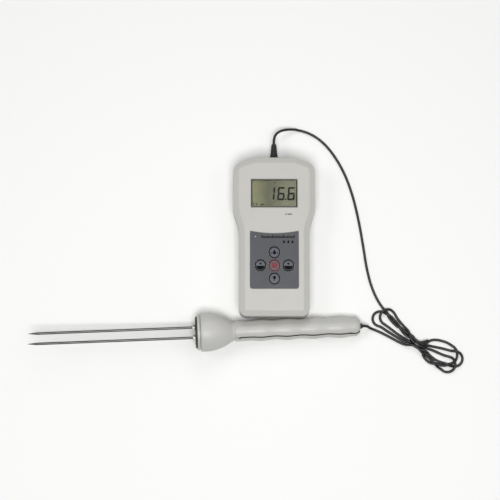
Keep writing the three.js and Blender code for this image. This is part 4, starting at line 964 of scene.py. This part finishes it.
def pointed_bar(name, length, upright_bar):
    """A thin slab with pointed ends, centred on the origin."""
    half = length / 2 - BAR_WIDTH / 2
    bar = box_piece(name, (-half, -BAR_WIDTH / 2, INK_LOW), (half, BAR_WIDTH / 2, INK_HIGH))
    edit(bar, "FACE")
    for side in (-1, 1):
        choose(bar, "FACE", lambda face: face.normal.x * side > 0.9)
        bpy.ops.mesh.extrude_region_move(TRANSFORM_OT_translate={"value": (side * BAR_WIDTH / 2 * MM, 0, 0)})
        bpy.ops.transform.resize(value=(1, 0.12, 1), center_override=(side * length / 2 * MM, 0, 0))
    leave_edit()
    if upright_bar:
        bar.rotation_euler.z = math.radians(90)
        apply_place(bar)
    return bar


def copy_to(source, name, offset):
    """A copy with its own mesh, moved by an offset in millimetres."""
    copied = source.copy()
    copied.data = source.data.copy()
    copied.name = name
    bpy.context.collection.objects.link(copied)
    copied.data.transform(Matrix.Translation(Vector(offset) * MM))
    return copied


def join_pieces(name, pieces):
    """Joins pieces into one object without cutting them together."""
    make_active(pieces[0])
    for piece in pieces[1:]:
        piece.select_set(True)
    bpy.ops.object.join()
    pieces[0].name = name
    return pieces[0]


def figure(digit, left, width, low):
    """The lit bars of one figure, whose lower left corner is given."""
    half = FIGURE_HEIGHT / 2
    level = pointed_bar("level", width - BAR_WIDTH * 0.4, False)
    rise = pointed_bar("rise", half - BAR_WIDTH * 0.15, True)
    places = {
        "a": (level, width / 2, FIGURE_HEIGHT - BAR_WIDTH / 2),
        "g": (level, width / 2, half),
        "d": (level, width / 2, BAR_WIDTH / 2),
        "b": (rise, width - BAR_WIDTH / 2, half * 1.5),
        "c": (rise, width - BAR_WIDTH / 2, half * 0.5),
        "f": (rise, BAR_WIDTH / 2, half * 1.5),
        "e": (rise, BAR_WIDTH / 2, half * 0.5),
    }
    bars = []
    for letter in LIT_BARS[digit]:
        source, x, y = places[letter]
        bars.append(copy_to(source, "bar", (left + x, low + y, 0)))
    for source in (level, rise):
        bpy.data.objects.remove(source)
    return bars


FIGURE_LOW = 27.2
pieces = []
for digit, left, width in (("1", -3.6, 3.6), ("6", 2.0, 5.5), ("6", 9.6, 5.5)):
    pieces += figure(digit, left, width, FIGURE_LOW)
pieces.append(box_piece("point", (8.0, FIGURE_LOW, INK_LOW), (9.1, FIGURE_LOW + 1.1, INK_HIGH)))
for piece in pieces:
    for vertex in piece.data.vertices:
        vertex.co.x += LEAN * (vertex.co.y - FIGURE_LOW * MM)
# A dark frame round the panel's edge, a painted shadow along the edge of the window, then a battery
# outline and a short dash low on the left, and a mark at the top.
for low, high in (
    ((-17.9, 21.0), (-16.5, 43.6)),
    ((16.5, 21.0), (17.9, 43.6)),
    ((-16.5, 21.0), (16.5, 22.4)),
    ((-16.5, 42.2), (16.5, 43.6)),
    ((-15.9, 23.3), (-13.1, 23.7)),
    ((-15.9, 24.9), (-13.1, 25.3)),
    ((-15.9, 23.3), (-15.5, 25.3)),
    ((-13.5, 23.3), (-13.1, 25.3)),
    ((-13.1, 23.9), (-12.5, 24.7)),
    ((-10.4, 23.4), (-7.6, 24.3)),
    ((0.0, 40.1), (1.0, 40.9)),
):
    pieces.append(box_piece("mark", (*low, INK_LOW), (*high, INK_HIGH)))
digits = join_pieces("display_figures", pieces)
# The figures and the dark frame of painted shadow share this finish.
liquid_crystal, tree, shader = new_material("dark_liquid_crystal_and_painted_shadow", Roughness=0.6, Specular_IOR_Level=0.03)
haze = add_node(tree, "ShaderNodeTexNoise", Vector=object_place(tree), Scale=1 / 3)
tone = add_node(tree, "ShaderNodeValToRGB", stops=((0, "#0B0B09"), (1, "#121210")), Fac=haze)
set_sockets(tree, shader, Base_Color=tone)
finish_piece(digits, "root", liquid_crystal)

# %% [markdown]
# ## Keypad and keys
#
# The keypad is a printed film on a stiff backing, let into the face. Its matt blue-grey ink is laid on the
# back of a clear polyester sheet, whose fine sand-like surface keeps it from glaring. The five keys stand
# up through it. Each is a shallow dome with a dark printed rim and a grey middle.

# %% The keypad's film
film = keypad_block("keypad_film", 29.3, 29.9, 0)
key_holes = [upright("key_hole", place, KEY_RADIUS + SLIDE_GAP, 28, 31, 64) for place in KEYS.values()]
cut_with(film, *key_holes, upright("film_light_hole", STATUS_PLACE, 0.8, 28, 31, 24))
soften(film, 0.12, segments=2)


def printed_film(name, code, roughness=0.5, gleam=0.3, grain_mm=0.3):
    """Ink behind a finely textured polyester sheet."""
    material, tree, shader = new_material(name, IOR=1.6, Specular_IOR_Level=gleam)
    place = object_place(tree)
    cloud = add_node(tree, "ShaderNodeTexNoise", Vector=place, Scale=1 / 12, Detail=4.0)
    tint = add_node(tree, "ShaderNodeMapRange", Value=cloud, To_Min=0.9, To_Max=1.1)
    colour = add_node(tree, "ShaderNodeMix", MULTIPLY, i0=1.0, i6=hex_colour(code), i7=tint)
    rub = add_node(tree, "ShaderNodeMapRange", Value=cloud, To_Min=roughness + 0.08, To_Max=roughness - 0.1)
    sand = add_node(tree, "ShaderNodeTexNoise", Vector=place, Scale=1 / grain_mm, Detail=1.0)
    relief = add_node(tree, "ShaderNodeBump", Height=sand, Distance=0.01 * MM, Strength=1.0)
    set_sockets(tree, shader, Base_Color=colour.outputs[2], Roughness=rub, Normal=relief)
    return material


film_ink = printed_film("blue_grey_printed_polyester", "#484A4E")
finish_piece(film, "root", film_ink, ["keypad_panel"])

# %% [markdown]
# One key is modelled and copied to all five places. It starts as a short cylinder for the cap. The top is
# inset and raised ring by ring to make the dome, and the bottom is inset and drawn down to make the stem
# that works the switch. The rim of the dome keeps a dark material and the middle takes a lighter one.

# %% One key
def raise_rings(obj, rings):
    """Insets the top face and raises it, ring by ring."""
    edit(obj, "FACE")
    choose(obj, "FACE", lambda face: face.normal.z > 0.9)
    for ring, rise in rings:
        bpy.ops.mesh.inset(thickness=ring * MM, depth=0, use_boundary=True)
        bpy.ops.transform.translate(value=(0, 0, rise * MM))
    leave_edit()


KEY_TOP = 30.35
KEY_UNDER = 29.2
STEM_FOOT = 21.7
STEM_RADIUS = 1.7
KEY_RIM = 1.15
DOME_RINGS = ((0.42, 0.2), (0.56, 0.07), (0.72, 0.03), (1.2, 0.0))  # in from the rim and up, in turn
key_dark = printed_film("dark_navy_key_ink", "#14161C", 0.5, 0.12)
key_grey = printed_film("grey_key_ink", "#545860", 0.45)

key_model = upright("key_model", (0, 0), KEY_RADIUS, KEY_UNDER, KEY_TOP - 0.3, 64)
raise_rings(key_model, DOME_RINGS)
edit(key_model, "FACE")
choose(key_model, "FACE", lambda face: face.normal.z < -0.9)
bpy.ops.mesh.inset(thickness=(KEY_RADIUS - STEM_RADIUS) * MM, depth=0, use_boundary=True)
bpy.ops.mesh.extrude_region_move(TRANSFORM_OT_translate={"value": (0, 0, (STEM_FOOT - KEY_UNDER) * MM)})
leave_edit()
shade(key_model, 30)
print("key faces:", len(key_model.data.polygons))

# %% [markdown]
# The symbols on the keys are plain signs: a drop between two rings, a lamp with two rays, two triangles over
# half-filled discs, and the usual sign for on and off. They are ink a few hundredths of a millimetre thick,
# cut from small cylinders and blocks and laid on the dome, and they move with their key.

# %% Keys with their symbols
INK = (KEY_TOP - 0.02, KEY_TOP + 0.03)
LAYER = 0.015  # how much higher ink stands where it is laid on other ink
ink_black = printed_film("black_printing_ink", "#08090A", 0.6, 0.05)
ink_red = printed_film("red_printing_ink", "#7A1C28", 0.5, 0.1)
ink_pink = printed_film("pink_red_key_rim_ink", "#5E2632", 0.5, 0.15)
key_mauve = printed_film("mauve_grey_key_ink", "#595156", 0.45)
ink_pale = printed_film("pale_printing_ink", "#94666C", 0.5, 0.1)


def ink_disc(name, centre, radius, sides=32, layer=0):
    return upright(name, centre, radius, INK[0], INK[1] + LAYER * layer, sides)


def ink_ring(name, centre, outer, inner, layer=0):
    ring = ink_disc(name, centre, outer, 48, layer=layer)
    cut_with(ring, upright("ring_hole", centre, inner, 29, 32, 48))
    return ring


def ink_bar(name, low, high, layer=0):
    return box_piece(name, (*low, INK[0]), (*high, INK[1] + LAYER * layer))


def draw_to_drop(disc, x, start, run, rise_mm, narrow):
    """Draws the part of a disc above a start line out to a blunt point."""
    for vertex in disc.data.vertices:
        rise = max(0, (vertex.co.y / MM - start) / run)
        vertex.co.y += rise_mm * rise * MM
        vertex.co.x = x * MM + (vertex.co.x - x * MM) * (1 - narrow * rise)
    return disc


def symbol(key_name, x, y):
    """The printed pieces of a key's sign, as [piece, material] pairs."""
    if key_name == "power":
        ring = ink_ring("sign", (x, y), 1.35, 1.02, 1)
        cut_with(ring, box_piece("gap", (x - 0.42, y + 0.5, 29), (x + 0.42, y + 2.0, 32)))
        disc = ink_disc("middle", (x, y), 2.0, 48)
        bar = ink_bar("sign_bar", (x - 0.17, y + 0.1), (x + 0.17, y + 1.5), 1)
        return [(disc, ink_red), (ring, ink_pale), (bar, ink_pale)]
    if key_name == "function":
        drop = draw_to_drop(ink_disc("sign", (x, y - 0.35), 1.25), x, y + 0.45, 0.45, 1.3, 0.75)
        sides = [ink_ring("sign_ring", (x + side * 2.35, y - 0.6), 0.6, 0.32) for side in (-1, 1)]
        return [(piece, ink_black) for piece in (drop, *sides)]
    if key_name == "light":
        bulb = ink_disc("sign", (x, y + 0.75), 1.15)
        base = [ink_bar("sign_base", (x - 0.5, y - low), (x + 0.5, y - low + 0.35)) for low in (0.95, 1.5)]
        neck = ink_bar("sign_neck", (x - 0.55, y - 0.5), (x + 0.55, y + 0.1))
        ends = [x - 2.3, x + 2.3]
        rays = [ink_bar("sign_ray", (end - 0.35, y + 0.6), (end + 0.35, y + 0.85)) for end in ends]
        return [(piece, ink_black) for piece in (bulb, neck, *base, *rays)]
    half = ink_disc("lower_half", (x, y), 3.3, 64)
    cut_with(half, box_piece("upper", (x - 4, y - 0.35, 29), (x + 4, y + 4, 32)))
    point = ink_disc("sign", (x, y + 1.35), 1.25, 3, layer=1)
    if key_name == "right":  # turned over, to point down
        for vertex in point.data.vertices:
            vertex.co.y = 2 * (y + 1.35) * MM - vertex.co.y
        edit(point)
        bpy.ops.mesh.select_all(action="SELECT")
        bpy.ops.mesh.normals_make_consistent(inside=False)
        leave_edit()
    return [(half, ink_black), (point, ink_black)]


for key_name, (x, y) in KEYS.items():
    key = copy_to(key_model, f"key_cap_{key_name}", (x, y, 0))
    inks, slot = ((key_dark, key_grey), "key_grey")
    if key_name == "power":
        inks, slot = ((ink_pink, key_mauve), "key_red")
    for ink in inks:
        key.data.materials.append(ink)
    for face in key.data.polygons:
        reach = math.hypot(face.center.x - x * MM, face.center.y - y * MM)
        face.material_index = int(face.normal.z > 0.5 and reach < (KEY_RADIUS - KEY_RIM) * MM)
    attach(key, f"key_{key_name}")
    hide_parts(f"key_{key_name}")
    for number, (piece, ink) in enumerate(symbol(key_name, x, y)):
        piece.name = f"key_sign_{key_name}_{number}"
        finish_piece(piece, f"key_{key_name}", ink)
bpy.data.objects.remove(key_model)

# %% [markdown]
# The film carries a plain scale with three drops under it where such a meter has its title, and a pale dot
# at its upper left for the status light. Four dots are printed on the case under the window.

# %% Printed marks and the status light
FILM_INK = (29.88, 29.93)
TICK_HEIGHTS = (2.4, 1.4, 1.4, 1.4, 1.9, 1.4, 1.4, 1.4)
TICK_LINE = -1.6
DROP_LINE = -4.6
marks = []
for tick in range(25):
    left, top = tick - 9.6, TICK_LINE + TICK_HEIGHTS[tick % 8]
    marks.append(box_piece("tick", (left, TICK_LINE, FILM_INK[0]), (left + 0.68, top, FILM_INK[1])))
for x in (7.2, 10.4, 13.6):
    drop = upright("drop", (x, DROP_LINE), 0.85, *FILM_INK, 24)
    marks.append(draw_to_drop(drop, x, DROP_LINE + 0.3, 0.55, 0.8, 0.8))
title = join_pieces("keypad_title_marks", marks)
finish_piece(title, "root", ink_black)

dots = [upright("dot", (x, 16.4), 0.5, 29.98, 30.03, 16) for x in (8.6, 10.3, 11.5, 12.7)]
case_print = join_pieces("case_printed_dots", dots)
finish_piece(case_print, "root", ink_black)

milky_acrylic, tree, shader = new_material("milky_acrylic", IOR=1.49, Roughness=0.25, Subsurface_Weight=0.3)
cloud = add_node(tree, "ShaderNodeTexNoise", Vector=object_place(tree), Scale=1 / 0.8)
tone = add_node(tree, "ShaderNodeValToRGB", stops=((0, "#B4B5B3"), (1, "#CACBC8")), Fac=cloud)
set_sockets(tree, shader, Base_Color=tone)
status_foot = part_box("status_light")[0].z / MM
status = upright("status_light_pipe", STATUS_PLACE, 0.6, status_foot, 29.75, 32)
raise_rings(status, ((0.15, 0.14), (0.2, 0.06)))
shade(status, 50)
finish_piece(status, "root", milky_acrylic, ["status_light"])

# %% [markdown]
# ## The gland
#
# Where the cord leaves the case, a soft PVC boot keeps it from kinking. It is a turned shape: a collar
# against the case, then a long taper with shallow grooves that let it bend evenly.

# %% The cord's gland
boot_pvc, tree, shader = new_material("matt_black_soft_pvc", IOR=1.52, Specular_IOR_Level=0.4)
place = object_place(tree)
dust = add_node(tree, "ShaderNodeTexNoise", Vector=place, Scale=1 / 3, Detail=5.0)
tone = add_node(tree, "ShaderNodeValToRGB", stops=((0, "#131314"), (1, "#2E2E2F")), Fac=dust)
rough = add_node(tree, "ShaderNodeMapRange", Value=dust, To_Min=0.5, To_Max=0.72)
skin = add_node(tree, "ShaderNodeTexNoise", Vector=place, Scale=1 / 0.5, Detail=2.0)
relief = add_node(tree, "ShaderNodeBump", Height=skin, Distance=0.03 * MM, Strength=1.0)
set_sockets(tree, shader, Base_Color=tone, Roughness=rough, Normal=relief)

boot = [(54.6, 4.0), (54.9, 4.6), (56.1, 4.6), (56.3, 3.0), (60.3, 3.0), (60.3, 3.2), (60.6, 3.6)]
boot += [(61.7, 3.6), (62.2, 3.3), (62.5, 2.9)]
GROOVES = 5
for i in range(GROOVES):
    start, radius = 62.9 + 1.7 * i, 2.9 - 0.18 * i
    boot += [(start, radius), (start + 0.9, radius - 0.05)]
    boot += [(start + 1.1, radius - 0.4), (start + 1.5, radius - 0.45)]
boot += [(71.6, 1.95), (72.0, 1.7), (72.0, 1.05)]
gland = turned("gland_boot", boot, 48)
gland.rotation_euler.z = math.radians(90)
gland.location.z = GLAND_Z * MM
apply_place(gland)
shade(gland, 50)
finish_piece(gland, "root", boot_pvc, ["cord_gland"])

# %% [markdown]
# ## The probe
#
# The probe is a bell with a long handle. All of its pieces are modelled along the X axis and then laid in
# place together, rolled over so that the seam between the halves of the handle faces the floor at the
# front. The bell is turned: its outside swells from the neck to the rim, and its inside follows a wall's
# thickness behind. The gap at its mouth and the seam of the handle get a dark finish of their own, which is
# painted shade.

# %% Laying a piece of the probe in place
BELL_LENGTH = 26.3
BELL_WALL = 1.8
NECK_RADIUS = 7.1
BELL_TURN = 0.86  # share of the bell's length where its curve turns hollow


def lay_with_probe(obj):
    """From the probe's own axes to where it lies. The place ends up in the mesh."""
    obj.data.transform(Matrix.Translation(PROBE_ORIGIN * MM) @ PROBE_TURN.to_4x4())
    return obj


# A dark grey for faces deep in narrow gaps: painted shade, standing for the shadow there.
painted_seam_shade = simple_finish("painted_shade_in_a_seam", "#33322F", "#4A4945", 1.5, (0.7, 0.85), 0.02, IOR=1.5)


def darken(obj, choice):
    """Gives the chosen faces the dark finish that stands for the shade in a narrow gap: painted shade."""
    obj.data.materials.append(painted_seam_shade)
    for face, chosen in zip(obj.data.polygons, choice):
        face.material_index = int(chosen)


def bell_radius(x):
    share = max(0, (x - BELL_STRAIGHT) / (BELL_LENGTH - BELL_STRAIGHT))
    fall = share**2.1 / BELL_TURN**1.1 if share < BELL_TURN else 1 - (1 - share) ** 2 / (1 - BELL_TURN)
    return BELL_RADIUS - (BELL_RADIUS - NECK_RADIUS) * fall


# %% The bell
outside = [(x, bell_radius(x)) for x in np.linspace(BELL_LENGTH, BELL_STRAIGHT, 24)]
inside_wall = [(x, bell_radius(x) - BELL_WALL) for x in np.linspace(BELL_STRAIGHT, 22.5, 14)]
bell_rings = [(24.5, 3.0), (24.5, 5.9)] + inside_wall[::-1]
bell_rings += [(0.5, BELL_RADIUS - BELL_WALL), (0.3, BELL_RADIUS - BELL_WALL + 0.2)]
bell_rings += [(0.3, BELL_RADIUS - 0.5), (0.4, BELL_RADIUS - 0.18), (0.7, BELL_RADIUS)]
bell_rings += outside[::-1] + [(BELL_LENGTH, 6.5)]
bell = turned("bell_moulding", bell_rings, 96)
shade(bell, 40)
lay_with_probe(bell)
finish_piece(bell, "root", probe_abs, ["probe_bell"])

# %% [markdown]
# A ring closes the mouth. Its rear edge is knurled, so that fingers can turn it, and only the tips of the
# knurl show in the gap in front of the bell, whose floor is painted dark as shade. The knurl is every other
# face of one narrow band, pushed out one by one.

# %% The ring in the bell's mouth
RING_RADIUS = 13.2
PLATE_RADIUS = 12.0
KNURL_SIDES = 120
ring_rings = [(3, 12.5), (0.1, 12.5), (0.1, 12.6), (-0.7, 12.6), (-0.7, RING_RADIUS)]
ring_rings += [(-1.9, RING_RADIUS), (-2.2, RING_RADIUS - 0.12), (-2.3, RING_RADIUS - 0.35)]
mouth_ring = turned("mouth_ring_moulding", ring_rings, KNURL_SIDES)


def is_knurl_tip(face):
    number = math.degrees(math.atan2(face.normal.z, face.normal.y)) * KNURL_SIDES / 360 - 0.5
    in_band = -0.6 < face.calc_center_median().x / MM < 0 and abs(face.normal.x) < 0.1
    return in_band and round(number) % 2 == 0


edit(mouth_ring, "FACE")
choose(mouth_ring, "FACE", is_knurl_tip)
bpy.ops.mesh.extrude_faces_move(TRANSFORM_OT_shrink_fatten={"value": 0.4 * MM})
leave_edit()
cut_with(mouth_ring, turned("ring_bore", [(-4, 12.3), (5, 12.3)], KNURL_SIDES))
shade(mouth_ring, 30)
# The faces at the floor of the gap get the painted shade.
in_gap = [
    -0.65 < face.center.x / MM < 0.05 and 12.4 < math.hypot(face.center.y, face.center.z) / MM < 12.75
    for face in mouth_ring.data.polygons
]
lay_with_probe(mouth_ring)
finish_piece(mouth_ring, "root", probe_abs, ["mouth_ring"])
darken(mouth_ring, in_gap)

# %% [markdown]
# The needles stand in a black glass-filled nylon plate. The glass fibres lie near the skin and give it a
# faint cloudy grain. Each needle goes through a clearance hole, with a hexagon nut against the front of the
# plate.

# %% The needle plate
NEEDLES = {"near": -5.5, "far": 5.5}
filled_nylon, tree, shader = new_material("glass_filled_nylon", IOR=1.53, Specular_IOR_Level=0.45)
place = object_place(tree, (1, 4, 1))
fibres = add_node(tree, "ShaderNodeTexNoise", Vector=place, Scale=1 / 1.2, Detail=6.0, Roughness=0.7)
tone = add_node(tree, "ShaderNodeValToRGB", stops=((0, "#141415"), (1, "#363637")), Fac=fibres)
rough = add_node(tree, "ShaderNodeMapRange", Value=fibres, To_Min=0.4, To_Max=0.68)
relief = add_node(tree, "ShaderNodeBump", Height=fibres, Distance=0.03 * MM, Strength=1.0)
set_sockets(tree, shader, Base_Color=tone, Roughness=rough, Normal=relief)

plate_rings = [(PLATE_BACK, 11.6), (PLATE_BACK - 0.2, PLATE_RADIUS), (PLATE_FRONT + 0.4, PLATE_RADIUS)]
plate_rings += [(PLATE_FRONT, PLATE_RADIUS - 0.4), (PLATE_FRONT, 9.6), (PLATE_FRONT + 0.3, 9.4)]
plate_rings += [(PLATE_FRONT + 0.3, 8.8), (PLATE_FRONT, 8.6), (PLATE_FRONT, 0.5)]
plate = turned("needle_plate_moulding", plate_rings, 96)


def turned_beside(name, profile, y, sides):
    """A turned piece whose axis is moved sideways."""
    obj = turned(name, profile, sides)
    obj.data.transform(Matrix.Translation((0, y * MM, 0)))
    return obj


def bore_along(y, radius, low, high):
    return turned_beside("bore", [(low, radius), (high, radius)], y, 32)


cut_with(plate, *(bore_along(y, 1.3, -5, 5) for y in NEEDLES.values()))
shade(plate, 40)
lay_with_probe(plate)
finish_piece(plate, "root", filled_nylon, ["needle_plate"])

# %% [markdown]
# The needles are 2 mm stainless rod, centreless ground, with points ground at the end. Grinding leaves fine
# rings round the rod. Real ones are a few hundredths of a millimetre apart, too fine to see, so they are
# drawn half a millimetre apart. The nuts are the same steel. The needles' steel is given a far darker colour
# than the nuts', which is a painted shade.

# %% Needles and nuts
def ground_steel(name, code, roughness, ring_mm, direction):
    material, tree, shader = new_material(name, Metallic=1.0)
    place = object_place(tree)
    shades = add_node(tree, "ShaderNodeTexNoise", Vector=place, Scale=1 / 7, Detail=4.0)
    tint = add_node(tree, "ShaderNodeMapRange", Value=shades, To_Min=0.85, To_Max=1.12)
    colour = add_node(tree, "ShaderNodeMix", MULTIPLY, i0=1.0, i6=hex_colour(code), i7=tint)
    along = add_node(tree, "ShaderNodeVectorMath", {"operation": "DOT_PRODUCT"}, i0=place, i1=direction)
    ring_sockets = dict(W=along.outputs["Value"], Scale=1 / ring_mm, Detail=3.0)
    rings = add_node(tree, "ShaderNodeTexNoise", {"noise_dimensions": "1D"}, **ring_sockets)
    gloss = add_node(tree, "ShaderNodeMapRange", Value=rings, To_Min=roughness - 0.07, To_Max=roughness + 0.1)
    relief = add_node(tree, "ShaderNodeBump", Height=rings, Distance=0.006 * MM, Strength=1.0)
    set_sockets(tree, shader, Base_Color=colour.outputs[2], Roughness=gloss, Normal=relief)
    return material


# Painted shade: the needles' steel is much darker than the nuts' steel, though both are the same steel.
needle_steel_painted_dark = ground_steel("centreless_ground_stainless_steel_painted_dark", "#605F5D", 0.34, 0.5, PROBE_AXIS)
nut_steel = ground_steel("turned_stainless_steel", "#C4C2BC", 0.24, 0.4, PROBE_AXIS)

needle_rings = [(-128.5, 0.06), (-128.3, 0.16), (-126.5, 0.42), (-124, 0.74), (-122.2, 0.94), (-121.4, 0.99)]
needle_rings += [(-120.9, 1.0), (-60, 1.0), (10.7, 1.0), (11, 0.7)]
NUT_RINGS = [(-5.8, 1.85), (-5.6, 2.3), (-3.85, 2.3), (-3.6, 2.0)]
for name, y in NEEDLES.items():
    rod = turned_beside(f"needle_rod_{name}", needle_rings, y, 32)
    shade(rod, 40)
    lay_with_probe(rod)
    finish_piece(rod, "root", needle_steel_painted_dark, [f"needle_{name}"])
    nut = turned_beside(f"needle_hex_nut_{name}", NUT_RINGS, y, 6)
    cut_with(nut, bore_along(y, 1.08, -7, -2))
    soften(nut, 0.1, segments=2)
    lay_with_probe(nut)
    finish_piece(nut, "root", nut_steel, [f"needle_nut_{name}"])

# %% [markdown]
# The handle is two long half shells. A block with well rounded long edges gives the section, and its end is
# drawn in over five rings. It is cut across in 44 equal parts, whose joints are widened or narrowed a little
# in turn, so that the fingers find four shallow waves. A shallow groove runs along each side. Only then is
# the block split at the seam, in the middle of the grooves, and both halves get a small round on every sharp
# edge. The grooves are painted dark, a painted shade that makes the seam a dark line.

# %% The handle's two halves
HANDLE_START = 26.35
HANDLE_HALF = (7.45, 7.1)
HANDLE_END_RINGS = ((2.2, 0.965), (1.8, 0.88), (1.2, 0.75), (0.6, 0.6), (0.2, 0.42))  # along, size
WAVE_START, WAVE_PITCH, WAVE_HEIGHT = 41.0, 20.0, 0.4
STATIONS = 44
SCREWS_X = (40, 98)
SEAM_HALF_GAP = 0.15
GROOVE_START, GROOVE_HALF, GROOVE_FLOOR = 29.6, 0.6, 6.85


def smooth_share(value, low, high):
    share = min(1, max(0, (value - low) / (high - low)))
    return share * share * (3 - 2 * share)


def long_block(name, start, end, half, radius, segments):
    """A block along X, centred on the axis, with rounded long edges."""
    block = box_piece(name, (start, -half[0], -half[1]), (end, *half))
    edit(block, "EDGE")
    choose(block, "EDGE", lambda e: abs(e.verts[0].co.x - e.verts[1].co.x) > 10 * MM)
    bpy.ops.mesh.bevel(offset=radius * MM, segments=segments, affect="EDGES")
    leave_edit()
    return block


handle = long_block("handle_blank", HANDLE_START, CONTACT_X, HANDLE_HALF, 6.0, 10)
edit(handle, "FACE")
choose(handle, "FACE", lambda face: face.normal.x > 0.9)
at, size = CONTACT_X, 1.0
for step, new_size in HANDLE_END_RINGS:
    at += step
    bpy.ops.mesh.extrude_region_move(TRANSFORM_OT_translate={"value": (step * MM, 0, 0)})
    bpy.ops.transform.resize(value=(1, new_size / size, new_size / size), center_override=(at * MM, 0, 0))
    size = new_size
for station in range(1, STATIONS):
    slice_at("x", HANDLE_START + (CONTACT_X - HANDLE_START) * station / STATIONS)
for station in range(1, STATIONS + 1):
    at = HANDLE_START + (CONTACT_X - HANDLE_START) * station / STATIONS
    fade = smooth_share(at, HANDLE_START, WAVE_START + WAVE_PITCH / 4)
    wave = fade * WAVE_HEIGHT * math.sin(2 * math.pi * (at - WAVE_START) / WAVE_PITCH)
    choose(handle, "VERT", lambda v: abs(v.co.x - at * MM) < 0.05 * MM)
    swell = [1 + wave / half for half in HANDLE_HALF]
    bpy.ops.transform.resize(value=(1, *swell), center_override=(at * MM, 0, 0))
leave_edit()
screw_wells = []
for x in SCREWS_X:
    screw_wells.append(upright("screw_well", (x, 0), 2.3, -9, -4.5, 40))
    screw_wells.append(upright("shank_hole", (x, 0), 1.4, -6, 5, 24))
end_bore = turned("end_bore", [(112, 2.2), (123, 2.2)], 40)
core = long_block("core", HANDLE_START + 4, CONTACT_X - 3, (5.2, 4.9), 4.2, 6)
cut_with(core, *(upright("screw_post", (x, 0), 2.8, -8, 8, 32) for x in SCREWS_X))
grooves = []
for low_y, high_y in ((-9, -GROOVE_FLOOR), (GROOVE_FLOOR, 9)):
    corners = ((GROOVE_START, low_y, -GROOVE_HALF), (CONTACT_X - 0.4, high_y, GROOVE_HALF))
    grooves.append(box_piece("groove", *corners))
cut_with(handle, core, end_bore, *grooves, *screw_wells)
halves = {"upper": handle, "lower": copy_to(handle, "handle_half_lower", (0, 0, 0))}
for name, half in halves.items():
    side = 1 if name == "upper" else -1
    seam_plane = dict(plane_co=(0, 0, side * SEAM_HALF_GAP * MM), plane_no=(0, 0, side))
    half.name = f"handle_half_{name}"
    edit(half)
    bpy.ops.mesh.select_all(action="SELECT")
    bpy.ops.mesh.bisect(**seam_plane, use_fill=True, clear_inner=True)
    leave_edit()
    soften(half, 0.12, segments=2, angle=38)
    # The faces in the groove get the painted shade.
    in_seam = [abs(face.center.z) < (GROOVE_HALF + 0.03) * MM for face in half.data.polygons]
    lay_with_probe(half)
    finish_piece(half, "root", probe_abs, [f"probe_handle_{name}"])
    darken(half, in_seam)

# %% The grommet at the handle's end
grommet_rings = [(114, 1.2), (114, 1.9), (121.2, 1.9), (121.3, 2.0), (122.0, 1.95)]
grommet_rings += [(122.8, 1.7), (HANDLE_END + GROMMET_PROUD, 1.35), (HANDLE_END + GROMMET_PROUD, 1.05)]
grommet = turned("cord_grommet", grommet_rings, 40)
shade(grommet, 40)
lay_with_probe(grommet)
finish_piece(grommet, "root", boot_pvc, ["handle_grommet"])

# %% [markdown]
# ## What the cases hide
#
# The board, the cells, their springs and the screws keep the shapes that the CAD model gives them. They are
# seen only where the battery cover slides open or deep in a screw well, so each gets a material of its own
# and nothing else: green solder mask over woven glass, printed cell jackets, nickel-plated spring steel,
# zinc-plated screws, turned brass and soft contact rubber.


# %% Materials of the hidden pieces
METALS = [
    ("contact_steel", "nickel_plated_spring_steel", "#B4B1A9", "#CFCCC3", 2, (0.22, 0.4)),
    ("screw_steel", "zinc_plated_steel", "#A3A5A6", "#C3C4C2", 1.5, (0.3, 0.48)),
    ("terminal_brass", "turned_brass", "#B08D4B", "#CDAA62", 1.5, (0.25, 0.4)),
]
rubber = simple_finish("conductive_silicone_rubber", "#1B1B1C", "#2B2B2C", 2, (0.6, 0.75), 0.02, IOR=1.41)
solder_mask = ("green_solder_mask", "#1F5A35", "#2E7346", 1.2, (0.28, 0.42), 0.02, (1, 4, 1))
jacket = ("printed_cell_jacket", "#37496A", "#4B5F86", 18, (0.25, 0.4), 0.01)
HIDDEN_FINISHES = {
    "white_plastic": simple_finish("white_moulded_abs", "#D8D8D2", "#E8E8E3", 8, (0.4, 0.5), 0.01, IOR=1.54),
    "contact_rubber": rubber,
    "black_plastic": simple_finish("black_moulded_abs", "#161617", "#222223", 5, (0.4, 0.55), 0.01, IOR=1.54),
    "board_laminate": simple_finish(*solder_mask, IOR=1.55),
    "cell_jacket": simple_finish(*jacket, Metallic=0.3),
    "lens_acrylic": milky_acrylic,
}
for slot, *values in METALS:
    HIDDEN_FINISHES[slot] = simple_finish(*values, 0.01, Metallic=1.0)
replaced = {"front_shell", "rear_shell", "battery_cover", "status_light", "needle_plate"}
replaced |= {"cord_tie", "display_lens"}
slots = {part["node"]: part["material_slot"] for part in frame["record"]["subparts"]}
dressed = []
for name, node in frame["nodes"].items():
    finish = HIDDEN_FINISHES.get(slots[name])
    if finish and name not in replaced:
        node.data.materials.clear()
        node.data.materials.append(finish)
        dressed.append(name)
print("CAD pieces with a new finish:", len(dressed))
